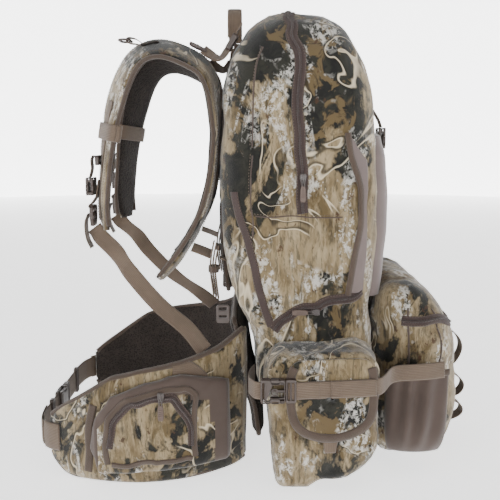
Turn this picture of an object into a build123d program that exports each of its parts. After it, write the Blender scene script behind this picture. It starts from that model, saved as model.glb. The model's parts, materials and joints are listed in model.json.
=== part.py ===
from build123d import *
import os

# Hunting backpack: upper and lower bag, pouches, shoulder harness and hip belt.
# Millimetres. +Z is up, +Y points at the wearer, -X is the wearer's left.
# The origin is the middle of the lower bag's flat bottom.

os.makedirs("parts", exist_ok=True)

# driving dimensions
WALL = 2.2             # fabric with its foam and lining
GAP = 0.6              # clearance between pieces that move apart
TAPE = 1.6             # thickness of zipper tape and flat webbing
WEB = 25.0             # width of the narrow webbing
BELT_WEB = 38.0        # width of the hip belt's webbing
SEAM_Z = 262.0         # height where the lower bag meets the upper bag
BAG_HALF = 160.0       # half width of the bag at its widest
PAD_HALF = 98.0        # half width of the back panel
STRAP_X = 92.0         # shoulder strap's centre line from the middle
STRAP_W = 65.0         # shoulder strap's width
STRAP_T = 14.0         # shoulder strap's thickness
POCKET_X = 240.0       # outer face of the side pockets
WING_T = 18.0          # hip wing's thickness
SIDES = {"left": -1, "right": 1}

# one entry a level: height, front y, rear y, half width, corner radius
UPPER_LEVELS = [
    (SEAM_Z, -80, 121, 160, 46),
    (352, -90, 137, 160, 48),
    (440, -90, 137, 158, 48),
    (520, -83, 134, 153, 46),
    (590, -74, 128, 146, 44),
    (640, -52, 107, 132, 42),
    (672, -30, 84, 108, 40),
    (688, 0, 54, 74, 26),
]
LOWER_LEVELS = [
    (0, -58, 58, 132, 30),
    (24, -78, 66, 150, 38),
    (80, -85, 66, 160, 42),
    (119, -86, 82, 162, 42),
    (181, -86, 90, 162, 44),
    (SEAM_Z, -80, 121, 160, 46),
]
POUCH_LEVELS = [
    (14, -130, -100, 128, 12),
    (30, -192, -97, 146, 32),
    (60, -210, -96, 156, 36),
    (150, -214, -96, 158, 38),
    (212, -206, -96, 156, 38),
    (250, -188, -98, 150, 34),
    (280, -160, -102, 132, 24),
    (296, -136, -112, 104, 11),
]


def save(solid, name):
    solid.label = name
    export_step(solid, f"parts/{name}.step")


def levels_solid(levels, grow=0.0):
    """A bag form that runs smoothly through rounded rectangles, grown outwards by grow."""
    with BuildPart() as form:
        for index, (z, front, rear, half, radius) in enumerate(levels):
            end = {0: -grow, len(levels) - 1: grow}.get(index, 0.0)
            with BuildSketch(Plane.XY.offset(z + end)):
                with Locations((0, (front + rear) / 2)):
                    RectangleRounded(2 * (half + grow), rear - front + 2 * grow, max(radius + grow, 4))
        loft()
    return form.part


def slab(outline, x_from, x_to, edge=0.0):
    """A side outline (y, z) given depth between two x positions, with rounded outer edges."""
    with BuildPart() as block:
        with BuildSketch(Plane.YZ.offset(min(x_from, x_to))):
            with BuildLine():
                Polyline(*outline, close=True)
            make_face()
        extrude(amount=abs(x_to - x_from))
        if edge:
            face = block.faces().sort_by(Axis.X)[-1 if x_to > 0 else 0]
            fillet(face.edges(), edge)
    return block.part


def ribbon(plane, points, thickness, width, smooth=True):
    """A strip of webbing or padding: a line in the plane, thickened, and given its width."""
    with BuildPart() as strip:
        with BuildSketch(plane):
            with BuildLine():
                if smooth:
                    Spline(*points)
                else:
                    Polyline(*points)
            trace(line_width=thickness)
        extrude(amount=width / 2, both=True)
    return strip.part


def cut_from(solid, *cutters):
    """The solid with every cutter taken away."""
    with BuildPart() as rest:
        add(solid)
        for cutter in cutters:
            add(cutter, mode=Mode.SUBTRACT)
    return rest.part


def group(*solids):
    """Separate solids that share one node."""
    return Compound(children=[piece for solid in solids for piece in solid.solids()])


def place(solid, plane):
    return plane.location * solid


# side-release buckle, along +X: the housing's mouth is at x = 0 and the latch enters it
def buckle_housing(web):
    long, wide, deep = 1.35 * web, web + 9, 12.0
    with BuildPart() as housing:
        with Locations((-long / 2, 0, 0)):
            Box(long, wide, deep)
        fillet(housing.edges().filter_by(Axis.Z), 4)
        fillet(housing.faces().group_by(Axis.Z)[-1].edges(), 2)
        with Locations((-0.36 * long, 0, 0)):
            Box(0.72 * long, wide - 8, deep - 5, mode=Mode.SUBTRACT)
            Box(0.30 * long, wide + 2, deep - 6, mode=Mode.SUBTRACT)
        with Locations((-0.86 * long, 0, 0)):
            Box(0.12 * long, web + 1, deep + 2, mode=Mode.SUBTRACT)
    return housing.part


def buckle_latch(web):
    wide, deep = web + 9, 12.0
    reach = 0.62 * 1.35 * web
    prong = 4.0
    with BuildPart() as latch:
        with Locations((0.3 * web + GAP, 0, 0)):
            Box(0.6 * web, wide, deep - 2)
        fillet(latch.edges().filter_by(Axis.Z), 3)
        with Locations((0.38 * web + GAP, 0, 0)):
            Box(0.2 * web, web + 1, deep + 2, mode=Mode.SUBTRACT)
        with Locations((GAP - reach / 2, 0, 0)):
            Box(reach, 3.5, 4.5)
            for side in (-1, 1):
                with Locations((0, side * (wide / 2 - 4 - prong / 2 - 0.8), 0)):
                    Box(reach, prong, 4.5)
    return latch.part


def ladder_lock(web):
    """A frame with two bars that grips webbing; it lies in XY, its top bar at y = 0."""
    wide, high, deep = web + 9, web + 7, 6.0
    with BuildPart() as lock:
        with Locations((0, -high / 2, 0)):
            Box(wide, high, deep)
        fillet(lock.edges().filter_by(Axis.Z), 5)
        with Locations((0, -0.26 * high, 0), (0, -0.66 * high, 0)):
            Box(web + 1, 0.2 * high, deep + 2, mode=Mode.SUBTRACT)
        fillet(lock.faces().group_by(Axis.Z)[-1].edges(), 1)
    return lock.part


def zip_slider():
    """Slider and pull, lying in XY: the pull hangs along -Y, the tape is below z = 0."""
    with BuildPart() as slider:
        with Locations((0, 0, 2)):
            Box(10, 13, 4)
        fillet(slider.edges().filter_by(Axis.Z), 2.5)
        with Locations((0, -16, 5)):
            Box(7, 34, 2.2)
        with Locations((0, -28, 5)):
            Hole(1.8)
    return slider.part


# ---- bag shells and what is inside them
upper_form = levels_solid(UPPER_LEVELS)
lower_form = levels_solid(LOWER_LEVELS)

with BuildPart() as upper_bag:
    add(upper_form)
    add(levels_solid(UPPER_LEVELS, -WALL), mode=Mode.SUBTRACT)

with BuildPart() as lower_bag:
    add(lower_form)
    add(levels_solid(LOWER_LEVELS, -WALL), mode=Mode.SUBTRACT)

with BuildPart() as front_pouch:
    add(levels_solid(POUCH_LEVELS))
    add(levels_solid(POUCH_LEVELS, -WALL), mode=Mode.SUBTRACT)

with BuildPart() as frame_sheet:
    with Locations((0, 112, 430)):
        Box(200, 1.5, 250)
    fillet(frame_sheet.edges().filter_by(Axis.Y), 25)

with BuildPart() as frame_stays:
    with Locations((-62, 109.4, 430), (62, 109.4, 430)):
        Box(25, 3, 240)
    fillet(frame_stays.edges().filter_by(Axis.Y), 6)

with BuildPart() as hydration_sleeve:
    with Locations((0, 92, 430)):
        Box(190, 24, 240)
    fillet(hydration_sleeve.edges().filter_by(Axis.Y), 30)
    with Locations((0, 92, 440)):
        Box(184, 18, 250, mode=Mode.SUBTRACT)

# ---- padding against the back
PANEL_LINE = [(127, 268), (131, 300), (141, 352), (141, 440), (138, 520), (132, 590), (116, 636)]
with BuildPart() as back_panel:
    add(ribbon(Plane.YZ, PANEL_LINE, 13, 2 * PAD_HALF))
    add(upper_form, mode=Mode.SUBTRACT)
    back_cushion = back_panel.solids().sort_by(SortBy.VOLUME)[-1]

LUMBAR_LINE = [(76, 34), (82, 80), (96, 119), (106, 181), (121, 226)]
with BuildPart() as lumbar_pad:
    add(ribbon(Plane.YZ, LUMBAR_LINE, 26, 2 * 108))
    add(lower_form, mode=Mode.SUBTRACT)
    lumbar_cushion = lumbar_pad.solids().sort_by(SortBy.VOLUME)[-1]

# ---- front drop-down panel, on the bag's front
PANEL_LEVELS = [(z, front - 14, front + 40, half - 34, 26) for z, front, rear, half, radius in UPPER_LEVELS[:4]]
with BuildPart() as front_drop_panel:
    add(levels_solid(PANEL_LEVELS))
    add(upper_form, mode=Mode.SUBTRACT)
    add(levels_solid([(POUCH_LEVELS[-2][0] - 60, -220, -100, 170, 10), (300, -220, -100, 170, 10)]),
        mode=Mode.SUBTRACT)

# ---- zippers: bands of the grown bag form, cut by thin slabs
upper_skin = cut_from(levels_solid(UPPER_LEVELS, TAPE), upper_form, lower_form)
lower_skin = cut_from(levels_solid(LOWER_LEVELS, TAPE), lower_form, upper_form)
MAIN_ZIP_LINE = [(21, 391), (26, 470), (31, 570), (36, 640), (44, 700)]
with BuildPart() as main_zipper:
    add(ribbon(Plane.YZ, MAIN_ZIP_LINE, 18, 2 * BAG_HALF + 40))
    add(upper_skin, mode=Mode.INTERSECT)

LOWER_ZIP_LINE = [(73, 224), (49, 240), (12, 249), (-32, 252), (-95, 254)]
with BuildPart() as lower_zipper:
    add(ribbon(Plane.YZ, LOWER_ZIP_LINE, 14, 2 * BAG_HALF + 40))
    add(lower_skin, mode=Mode.INTERSECT)
    add(front_drop_panel.part, mode=Mode.SUBTRACT)

pouch_form = levels_solid(POUCH_LEVELS)
POUCH_ZIP_LINE = [(-60, 236), (-160, 236), (-230, 236)]
with BuildPart() as pouch_zipper:
    add(ribbon(Plane.YZ, POUCH_ZIP_LINE, 16, 2 * BAG_HALF + 40, smooth=False))
    add(cut_from(levels_solid(POUCH_LEVELS, TAPE), pouch_form), mode=Mode.INTERSECT)

# ---- side pockets, their flaps, and the open pockets on the pouch
POCKET_OUTLINE = [
    (60, 205), (-60, 212), (-81, 190), (-82, 66), (-66, 34), (-34, 22), (30, 4), (62, 4), (66, 80), (66, 180),
]
POCKET_CORE = [
    (56, 200), (-57, 207), (-77, 187), (-78, 68), (-64, 39), (-34, 27), (30, 9), (58, 9), (61, 80), (61, 178),
]
HINGE_Z = 142.0
FLAP_REACH = 57.0
FLAP_X = POCKET_X + 2.5
BOTTLE_X = 186.0
bag_and_lining = levels_solid(LOWER_LEVELS, WALL)
pouch_form_grown = levels_solid(POUCH_LEVELS, 0.4)
pockets, flaps, bottle_pockets = {}, {}, {}
for side, sign in SIDES.items():
    outer = cut_from(slab(POCKET_OUTLINE, sign * 120, sign * POCKET_X, 14), lower_form)
    inner = cut_from(slab(POCKET_CORE, sign * 120, sign * (POCKET_X - WALL), 10), bag_and_lining)
    with BuildPart() as pocket:
        add(outer)
        add(inner, mode=Mode.SUBTRACT)
    pockets[side] = pocket.part

    with BuildPart() as flap:
        with Locations((sign * FLAP_X, -13, HINGE_Z - FLAP_REACH / 2)):
            Box(3, 112, FLAP_REACH)
        fillet(flap.edges().filter_by(Axis.X).group_by(Axis.Z)[0], 42)
    flaps[side] = flap.part

    with BuildPart() as bottle_pocket:
        with Locations((sign * (BOTTLE_X - 30), -150, 94)):
            Box(60, 100, 132)
        fillet(bottle_pocket.edges().filter_by(Axis.Z), 12)
        with Locations((sign * (BOTTLE_X - 32.5), -150, 100)):
            Box(60, 94, 140, mode=Mode.SUBTRACT)
        add(pouch_form_grown, mode=Mode.SUBTRACT)
    bottle_pockets[side] = bottle_pocket.part.solids().sort_by(SortBy.VOLUME)[-1]

# ---- compression straps over the side pockets
STRAP_Z = 160.0
BUCKLE_Y = 52.0
BUCKLE_X = POCKET_X + 9.5
WEB_X = POCKET_X + 4.0
webbing_runs = []
housings = []
latches = {}
for side, sign in SIDES.items():
    level = Plane.XY.offset(STRAP_Z)
    front_run = [(sign * (WEB_X + 4), 24), (sign * WEB_X, 12), (sign * WEB_X, -78), (sign * 222, -92),
                 (sign * 196, -106), (sign * 190, -120), (sign * 189.5, -182)]
    rear_run = [(sign * BUCKLE_X, 87), (sign * (BUCKLE_X - 10), 98), (sign * (BUCKLE_X - 32), 104),
                (sign * 150, 86)]
    webbing_runs.append(ribbon(level, front_run, TAPE, WEB, smooth=False))
    webbing_runs.append(cut_from(ribbon(level, rear_run, TAPE, WEB, smooth=False), lower_form, pockets[side]))
    seat = Plane(origin=(sign * BUCKLE_X, BUCKLE_Y, STRAP_Z), x_dir=(0, -1, 0), z_dir=(sign, 0, 0))
    housings.append(place(buckle_housing(WEB), seat))
    latches[side] = place(buckle_latch(WEB), seat)

# ---- webbing and buckles of the drop-down panel
FRONT_BUCKLE_Y = -114.0
FRONT_MOUTHS = {"upper": (486.0, -1), "lower": (334.0, 1)}   # height of the mouth, way the latch leaves
front_housings, front_latches, front_webs = [], {}, []
for name, (mouth_z, way) in FRONT_MOUTHS.items():
    seat = Plane(origin=(0, FRONT_BUCKLE_Y, mouth_z), x_dir=(0, 0, way), z_dir=(0, -1, 0))
    front_housings.append(place(buckle_housing(WEB), seat))
    front_latches[name] = place(buckle_latch(WEB), seat)
front_webs.append(ribbon(Plane.YZ, [(-84, 566), (-100, 545), (-114, 522)], TAPE, WEB, smooth=False))
front_webs.append(ribbon(Plane.YZ, [(-114, 468), (-109, 446), (-109, 374), (-114, 352)], TAPE, WEB, smooth=False))
front_webs.append(ribbon(Plane.YZ, [(-106, 306), (-106, 300), (-112, 298.4)], TAPE, WEB, smooth=False))

# ---- shoulder harness
STRAP_LINE = [
    (322, 364), (324, 400), (321, 440), (314, 500), (302, 556), (284, 602), (262, 627), (232, 634),
    (198, 624), (170, 606), (155, 578), (151.5, 544), (152.5, 486), (161, 426), (176, 382), (196, 346),
    (220, 312), (240, 288),
]
shoulder_straps = {}
for side, sign in SIDES.items():
    middle = Plane.YZ.offset(sign * STRAP_X)
    shoulder_straps[side] = cut_from(ribbon(middle, STRAP_LINE, STRAP_T, STRAP_W), back_panel.part)

keeper_bands, ring_tabs, lifters, lifter_buckles, adjusters, anchors, sternum_rails = [], [], [], [], [], [], []
d_rings, locks, sternum, danglers = {}, {}, {}, {}
KEEPER_Z = 512.0
RING_AT = (276.0, 646.0)       # y, z of the ring's bar
LOCK_AT = (341.0, 402.0)
STERNUM_AT = (339.0, 470.0)
STERNUM_WEB = 20.0
for side, sign in SIDES.items():
    x = sign * STRAP_X
    middle = Plane.YZ.offset(x)
    with BuildPart() as keeper:
        with Locations(Location((x, 311.5, KEEPER_Z), (11, 0, 0))):
            Box(STRAP_W + 6, STRAP_T + 6, WEB)
            Box(STRAP_W + 1.2, STRAP_T + 2.4, WEB + 2, mode=Mode.SUBTRACT)
    keeper_bands.append(cut_from(keeper.part, shoulder_straps[side]))

    with BuildPart() as ring:
        with BuildSketch(Plane.XY.offset(RING_AT[1])):
            with Locations((x, RING_AT[0] + 9)):
                SlotOverall(36, 20)
                SlotOverall(28, 12, mode=Mode.SUBTRACT)
        extrude(amount=1.7, both=True)
        fillet(ring.edges(), 0.8)
    d_rings[side] = ring.part
    with BuildPart() as tab:
        with Locations((x, RING_AT[0] + 1, RING_AT[1])):
            Box(20, 10, 9)
            Box(22, 6.2, 6.0, mode=Mode.SUBTRACT)
        with Locations((x, RING_AT[0] - 9, RING_AT[1] - 3.5)):
            Box(20, 10, 1.6)
    ring_tabs.append(cut_from(tab.part, shoulder_straps[side]))

    lifters.append(ribbon(middle, [(112, 668), (120, 655)], TAPE, 20, smooth=False))
    lifters.append(ribbon(middle, [(134, 632), (145, 619.5), (152, 621), (166, 631)], TAPE, 20, smooth=False))
    with BuildPart() as small_buckle:
        with Locations(Plane(origin=(x, 127, 643.5), x_dir=(0, 0.52, -0.854), z_dir=(0, 0.854, 0.52)).location):
            Box(26, 27, 9)
        fillet(small_buckle.edges(), 2)
    lifter_buckles.append(small_buckle.part)
    grip = Plane(origin=(x, 189, 642), x_dir=(1, 0, 0), z_dir=(0, -0.42, 0.907))
    lifter_buckles.append(cut_from(place(ladder_lock(20), grip), shoulder_straps[side]))

    lock_seat = Plane(origin=(x, LOCK_AT[0], LOCK_AT[1]), x_dir=(-1, 0, 0), z_dir=(0, 1, 0))
    locks[side] = place(ladder_lock(WEB), lock_seat)
    ring_tabs.append(ribbon(middle, [(330.5, 434), (333.5, 415), (338.5, 405.5)], TAPE, WEB - 2, smooth=False))

    with BuildPart() as rail:
        with Locations((x, 331, STERNUM_AT[1])):
            Box(26, 6, 15)
    sternum_rails.append(rail.part)
    buckle_y = STERNUM_AT[0] + 4
    if side == "left":
        half = place(buckle_housing(STERNUM_WEB), Plane((x, buckle_y, 417), x_dir=(0, 0, -1), z_dir=(0, 1, 0)))
    else:
        half = place(buckle_latch(STERNUM_WEB), Plane((x, buckle_y, 431), x_dir=(0, 0, 1), z_dir=(0, 1, 0)))
    loop = ribbon(middle, [(STERNUM_AT[0], 474), (STERNUM_AT[0], 454), (buckle_y, 444.6)], TAPE, STERNUM_WEB,
                  smooth=False)
    sternum[side] = group(half, cut_from(loop, half))

    # the webbing from the lock runs back and outwards to the hip wing's top edge
    run = Vector(sign * 48, -175, 0).normalized()
    side_plane = Plane(origin=(x, 340, 0), x_dir=run, z_dir=run.cross(Vector(0, 0, 1)))
    fall = [(0, 367), (12, 351), (37, 328), (60, 297), (104, 251), (150, 216), (174, 203)]
    adjusters.append(ribbon(side_plane, fall, TAPE, WEB, smooth=False))
    low = Plane.YZ.offset(sign * 112)
    anchors.append(ribbon(low, [(133, 318), (144.5, 322)], 3, WEB, smooth=False))
    anchors.append(ribbon(low, [(150, 345), (155, 304), (151, 262)], 9, WEB - 5, smooth=False))
    anchors.append(ribbon(low, [(161, 328), (186, 338)], 3, WEB, smooth=False))
    with BuildPart() as dangler:
        with Locations((sign * 134, 141, 240)):
            Box(4, 20, 28)
        fillet(dangler.edges().filter_by(Axis.X), 4)
        with Locations((sign * 134, 141, 248)):
            Box(6, 13, 4, mode=Mode.SUBTRACT)
    danglers[side] = dangler.part

# ---- haul loop, between the load lifters
HAUL_AT = (124.0, 654.0)       # y, z of the line it swings about
with BuildPart() as haul_loop:
    with BuildSketch(Plane.XZ.offset(-HAUL_AT[0])):
        with BuildLine():
            FilletPolyline((-34, 660), (-36, 701), (36, 701), (34, 660), radius=18)
        trace(line_width=3)
    extrude(amount=11, both=True)

with BuildPart() as haul_anchor:
    with Locations((-34, HAUL_AT[0] - 3, 635), (34, HAUL_AT[0] - 3, 635)):
        Box(24, 16, 26)
    add(upper_form, mode=Mode.SUBTRACT)
    add(back_panel.part, mode=Mode.SUBTRACT)

# ---- hip belt
WING_PLAN = [(112, 108), (150, 142), (184, 196), (198, 262), (188, 334), (160, 400)]
WING_SIDE = [
    (92, 24), (118, 0), (330, 0), (372, 5), (392, 24), (404, 50), (412, 84), (398, 92), (380, 106),
    (350, 126), (302, 158), (258, 169), (201, 179), (150, 191), (92, 224),
]
WING_POCKET_PLAN = [(163, 128), (199, 192), (215, 262), (204, 330)]
WING_POCKET_SIDE = [
    (132, 30), (316, 24), (330, 60), (318, 110), (296, 140), (250, 160), (200, 168), (132, 150),
]
BELT_Z = 62.0
BELT_Y = 421.0
wings, wing_pockets, belt_runs = {}, {}, []
for side, sign in SIDES.items():
    with BuildPart() as wing:
        with BuildSketch(Plane.XY):
            with BuildLine():
                Spline(*[(sign * px, py) for px, py in WING_PLAN])
            trace(line_width=WING_T)
        extrude(amount=230)
        add(slab(WING_SIDE, sign * 60, sign * 260), mode=Mode.INTERSECT)
        add(lumbar_cushion, mode=Mode.SUBTRACT)
        add(bag_and_lining, mode=Mode.SUBTRACT)
    wings[side] = wing.part.solids().sort_by(SortBy.VOLUME)[-1]
    with BuildPart() as wing_pocket:
        with BuildSketch(Plane.XY):
            with BuildLine():
                Spline(*[(sign * px, py) for px, py in WING_POCKET_PLAN])
            trace(line_width=20)
        extrude(amount=230)
        add(slab(WING_POCKET_SIDE, sign * 60, sign * 260), mode=Mode.INTERSECT)
        add(wings[side], mode=Mode.SUBTRACT)
    wing_pockets[side] = wing_pocket.part.solids().sort_by(SortBy.VOLUME)[-1]

belt_plane = Plane.XY.offset(BELT_Z)
near_run = [(-166, 404), (-140, 416), (-100, BELT_Y), (-36, BELT_Y)]
far_run = [(166, 404), (140, 416), (100, BELT_Y), (17, BELT_Y)]
for sign, line in ((-1, near_run), (1, far_run)):
    belt_runs.append(cut_from(ribbon(belt_plane, line, TAPE, BELT_WEB, smooth=False), wings["left"], wings["right"]))

BUCKLE_WEB = 0.8 * BELT_WEB
belt_seat = Plane(origin=(0, BELT_Y, BELT_Z), x_dir=(1, 0, 0), z_dir=(0, 1, 0))
belt_housing = place(buckle_housing(BUCKLE_WEB), belt_seat)
belt_latch = place(buckle_latch(BUCKLE_WEB), belt_seat)
with BuildPart() as belt_adjusters:
    with Locations((-78, BELT_Y, BELT_Z), (84, BELT_Y, BELT_Z)):
        Box(14, 7, BELT_WEB + 8)
        Box(15, 3, BELT_WEB + 1, mode=Mode.SUBTRACT)
belt_webbing = group(*[cut_from(run, belt_housing, belt_latch) for run in belt_runs])

# ---- webbing loops down the front of the pouch
DAISY_LINE = [
    (-207, 207), (-222, 198), (-240, 165), (-232, 146), (-215, 134), (-232, 126), (-248, 112), (-240, 92),
    (-215, 84), (-236, 78), (-248, 66), (-242, 54), (-211, 43),
]
DAISY_X = 60.0
daisy_rows = [
    cut_from(ribbon(Plane.YZ.offset(sign * DAISY_X), DAISY_LINE, TAPE, WEB, smooth=False), pouch_form)
    for sign in SIDES.values()
]

# ---- sewn patch on the left strap
with BuildPart() as strap_patch:
    with Locations(Location((-STRAP_X, 248, 641), (-12, 0, 0))):
        Box(34, 26, 1.6)
    add(shoulder_straps["left"], mode=Mode.SUBTRACT)

# ---- zipper sliders; each is given where it sits and which way its pull hangs
sliders = {}
for side, sign in SIDES.items():
    out = (sign, 0, 0)
    sliders[f"main_zip_slider_{side}"] = place(
        zip_slider(), Plane((sign * (158 + TAPE + 1.6), 24, 446), x_dir=(0, sign, 0), z_dir=out))
    sliders[f"wing_zip_slider_{side}"] = place(
        zip_slider(), Plane((sign * 222.5, 226, 142), x_dir=(0, sign, 0), z_dir=out))
sliders["lower_zip_slider"] = place(
    zip_slider(), Plane((-162 - TAPE - 1.4, 4, 250), x_dir=(0, 0, -1), z_dir=(-1, 0, 0)))
tilt = Vector(0, -0.9, 0.436)
sliders["pouch_zip_slider"] = place(zip_slider(), Plane((0, -199.5, 238), x_dir=(1, 0, 0), z_dir=tilt))

# ---- the object's files
nodes = {
    "upper_bag": upper_bag.part,
    "lower_bag": lower_bag.part,
    "frame_sheet": frame_sheet.part,
    "frame_stays": frame_stays.part,
    "hydration_sleeve": hydration_sleeve.part,
    "back_panel": back_cushion,
    "lumbar_pad": lumbar_cushion,
    "front_drop_panel": front_drop_panel.part,
    "front_pouch": front_pouch.part,
    "main_zipper": main_zipper.part,
    "lower_zipper": lower_zipper.part,
    "pouch_zipper": pouch_zipper.part,
    "compression_webbing": group(*webbing_runs),
    "compression_housings": group(*housings),
    "front_webbing": group(*[cut_from(web, *front_housings) for web in front_webs]),
    "front_housings": group(*front_housings),
    "front_latch_upper": front_latches["upper"],
    "front_latch_lower": front_latches["lower"],
    "keeper_bands": group(*keeper_bands),
    "strap_tabs": group(*ring_tabs, *sternum_rails),
    "load_lifters": group(*[cut_from(web, *lifter_buckles) for web in lifters]),
    "lifter_buckles": group(*lifter_buckles),
    "sternum_housing": sternum["left"],
    "sternum_latch": sternum["right"],
    "adjuster_webbing": group(*adjusters),
    "strap_anchors": group(*anchors),
    "strap_patch": strap_patch.part,
    "haul_loop": haul_loop.part,
    "haul_anchors": haul_anchor.part,
    "belt_webbing": belt_webbing,
    "belt_housing": belt_housing,
    "belt_latch": belt_latch,
    "belt_adjusters": belt_adjusters.part,
    "daisy_chain": group(*daisy_rows),
}
paired = {
    "side_pocket": pockets,
    "side_flap": flaps,
    "bottle_pocket": bottle_pockets,
    "compression_latch": latches,
    "shoulder_strap": shoulder_straps,
    "d_ring": d_rings,
    "ladder_lock": locks,
    "hip_wing": wings,
    "wing_pocket": wing_pockets,
    "loose_buckle": danglers,
}
for name, pair in paired.items():
    for side, solid in pair.items():
        nodes[f"{name}_{side}"] = solid
nodes.update(sliders)
for name, solid in nodes.items():
    save(solid, name)
print(len(nodes), "nodes")
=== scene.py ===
# %% [markdown]
# # A hunting backpack, standing on a pale floor
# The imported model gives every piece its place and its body. This script gives the
# pieces their looks: cloth that puffs and creases, ribbed webbing, zippers, foam
# pads with mesh linings, and moulded buckles. Everything is in metres, +Z is up,
# +Y points at the wearer and -X is the wearer's left.

# %% the frame
import bpy
import bmesh
import json
import math
import numpy as np
from mathutils import Matrix, Vector, noise
from mathutils.bvhtree import BVHTree


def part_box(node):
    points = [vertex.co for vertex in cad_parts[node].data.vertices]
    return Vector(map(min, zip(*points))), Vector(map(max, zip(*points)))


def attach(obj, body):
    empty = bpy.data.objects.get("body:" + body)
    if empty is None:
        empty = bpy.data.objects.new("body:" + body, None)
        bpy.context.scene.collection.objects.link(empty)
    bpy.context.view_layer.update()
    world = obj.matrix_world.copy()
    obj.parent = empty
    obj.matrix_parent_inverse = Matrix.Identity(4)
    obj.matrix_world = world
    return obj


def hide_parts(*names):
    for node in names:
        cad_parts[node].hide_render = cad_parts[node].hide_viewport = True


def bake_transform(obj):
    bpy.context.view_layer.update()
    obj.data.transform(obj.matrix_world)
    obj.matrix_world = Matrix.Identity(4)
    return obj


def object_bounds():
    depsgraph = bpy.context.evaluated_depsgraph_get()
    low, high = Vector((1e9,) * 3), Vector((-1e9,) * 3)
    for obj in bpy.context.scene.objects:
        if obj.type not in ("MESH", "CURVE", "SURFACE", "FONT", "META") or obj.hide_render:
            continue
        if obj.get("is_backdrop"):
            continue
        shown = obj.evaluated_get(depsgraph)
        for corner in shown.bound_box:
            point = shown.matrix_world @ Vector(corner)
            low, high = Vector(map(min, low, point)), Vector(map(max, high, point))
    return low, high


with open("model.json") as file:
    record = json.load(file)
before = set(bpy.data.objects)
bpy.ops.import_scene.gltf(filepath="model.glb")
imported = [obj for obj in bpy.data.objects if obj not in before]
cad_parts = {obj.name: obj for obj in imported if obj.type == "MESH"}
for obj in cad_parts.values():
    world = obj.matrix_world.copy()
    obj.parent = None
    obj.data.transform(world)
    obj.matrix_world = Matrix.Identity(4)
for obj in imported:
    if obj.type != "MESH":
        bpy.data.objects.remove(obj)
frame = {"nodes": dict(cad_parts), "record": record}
cad_low, cad_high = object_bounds()
MM = 0.001
SIDES = {"left": -1, "right": 1}

# %% [markdown]
# ## Shader arithmetic
# A pattern is a formula. Writing it with + and * reads better than wiring boxes by
# hand, so a small class wraps a socket and turns each operator into a Math node.

# %% a socket that can be added and multiplied
class Wire:
    def __init__(self, paint, socket):
        self.paint = paint
        self.socket = socket

    def maths(self, operation, *values, clamp=False):
        node = self.paint.add("ShaderNodeMath", {"operation": operation, "use_clamp": clamp}, list(values))
        return Wire(self.paint, node.outputs[0])

    def __add__(self, other):
        return self.maths("ADD", self, other)

    def __radd__(self, other):
        return self.maths("ADD", other, self)

    def __sub__(self, other):
        return self.maths("SUBTRACT", self, other)

    def __rsub__(self, other):
        return self.maths("SUBTRACT", other, self)

    def __mul__(self, other):
        return self.maths("MULTIPLY", self, other)

    def __rmul__(self, other):
        return self.maths("MULTIPLY", other, self)

    def __truediv__(self, other):
        return self.maths("DIVIDE", self, other)

    def __rtruediv__(self, other):
        return self.maths("DIVIDE", other, self)

    def absolute(self):
        return self.maths("ABSOLUTE", self)

    def wave(self):
        return self.maths("SINE", self)

    def above(self, edge, soft=0.02):
        """0 below the edge and 1 above it, over a soft step."""
        return self.maths("ADD", (self - edge) / (2 * soft), 0.5, clamp=True)


class Paint:
    """A material that is built from a few calls."""

    def __init__(self, name, roughness=0.8, sheen=0.0, specular=0.3, coat=0.0):
        self.material = bpy.data.materials.new(name)
        self.material.use_nodes = True
        self.tree = self.material.node_tree
        self.shader = next(n for n in self.tree.nodes if n.type == "BSDF_PRINCIPLED")
        self.shader.inputs["Roughness"].default_value = roughness
        self.shader.inputs["Sheen Weight"].default_value = sheen
        self.shader.inputs["Sheen Roughness"].default_value = 0.5
        self.shader.inputs["Specular IOR Level"].default_value = specular
        self.shader.inputs["Coat Weight"].default_value = coat

    def add(self, kind, settings=None, inputs=None):
        """A node of this kind: settings first, then its sockets, by place or by name."""
        node = self.tree.nodes.new(kind)
        for key, value in (settings or {}).items():
            setattr(node, key, value)
        pairs = inputs.items() if isinstance(inputs, dict) else enumerate(inputs or [])
        for key, value in pairs:
            if isinstance(value, Wire):
                self.tree.links.new(value.socket, node.inputs[key])
            elif value is not None:
                node.inputs[key].default_value = value
        return node

    def place(self):
        return Wire(self, self.add("ShaderNodeTexCoord").outputs["Object"])

    def along(self):
        return Wire(self, self.add("ShaderNodeUVMap", {"uv_map": "UVMap"}).outputs[0])

    def parts(self, vector):
        node = self.add("ShaderNodeSeparateXYZ", None, [vector])
        return [Wire(self, out) for out in node.outputs]

    def stretch(self, vector, scale, shift=(0, 0, 0)):
        node = self.add("ShaderNodeMapping", {"vector_type": "POINT"},
                        {"Vector": vector, "Scale": scale, "Location": shift})
        return Wire(self, node.outputs[0])

    def cloud(self, vector, scale, detail=3.0, rough=0.55, warp=0.0):
        node = self.add("ShaderNodeTexNoise", None,
                        {"Vector": vector, "Scale": scale, "Detail": detail, "Roughness": rough,
                         "Distortion": warp})
        return Wire(self, node.outputs[0])

    def cells(self, vector, scale, feature="F1"):
        node = self.add("ShaderNodeTexVoronoi", {"feature": feature}, {"Vector": vector, "Scale": scale})
        return Wire(self, node.outputs["Distance"])

    def mix(self, amount, first, second):
        """Two colours, or two results, mixed by an amount."""
        node = self.add("ShaderNodeMix", {"data_type": "RGBA"}, {0: amount})
        for index, value in ((6, first), (7, second)):
            if isinstance(value, Wire):
                self.tree.links.new(value.socket, node.inputs[index])
            else:
                node.inputs[index].default_value = (*value, 1.0)
        return Wire(self, node.outputs[2])

    def colour(self, wire):
        self.tree.links.new(wire.socket, self.shader.inputs["Base Color"])

    def rough(self, wire):
        self.tree.links.new(wire.socket, self.shader.inputs["Roughness"])

    def bump(self, height, depth, strength=1.0):
        node = self.add("ShaderNodeBump", None, {"Strength": strength, "Distance": depth, "Height": height})
        self.tree.links.new(node.outputs[0], self.shader.inputs["Normal"])


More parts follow.
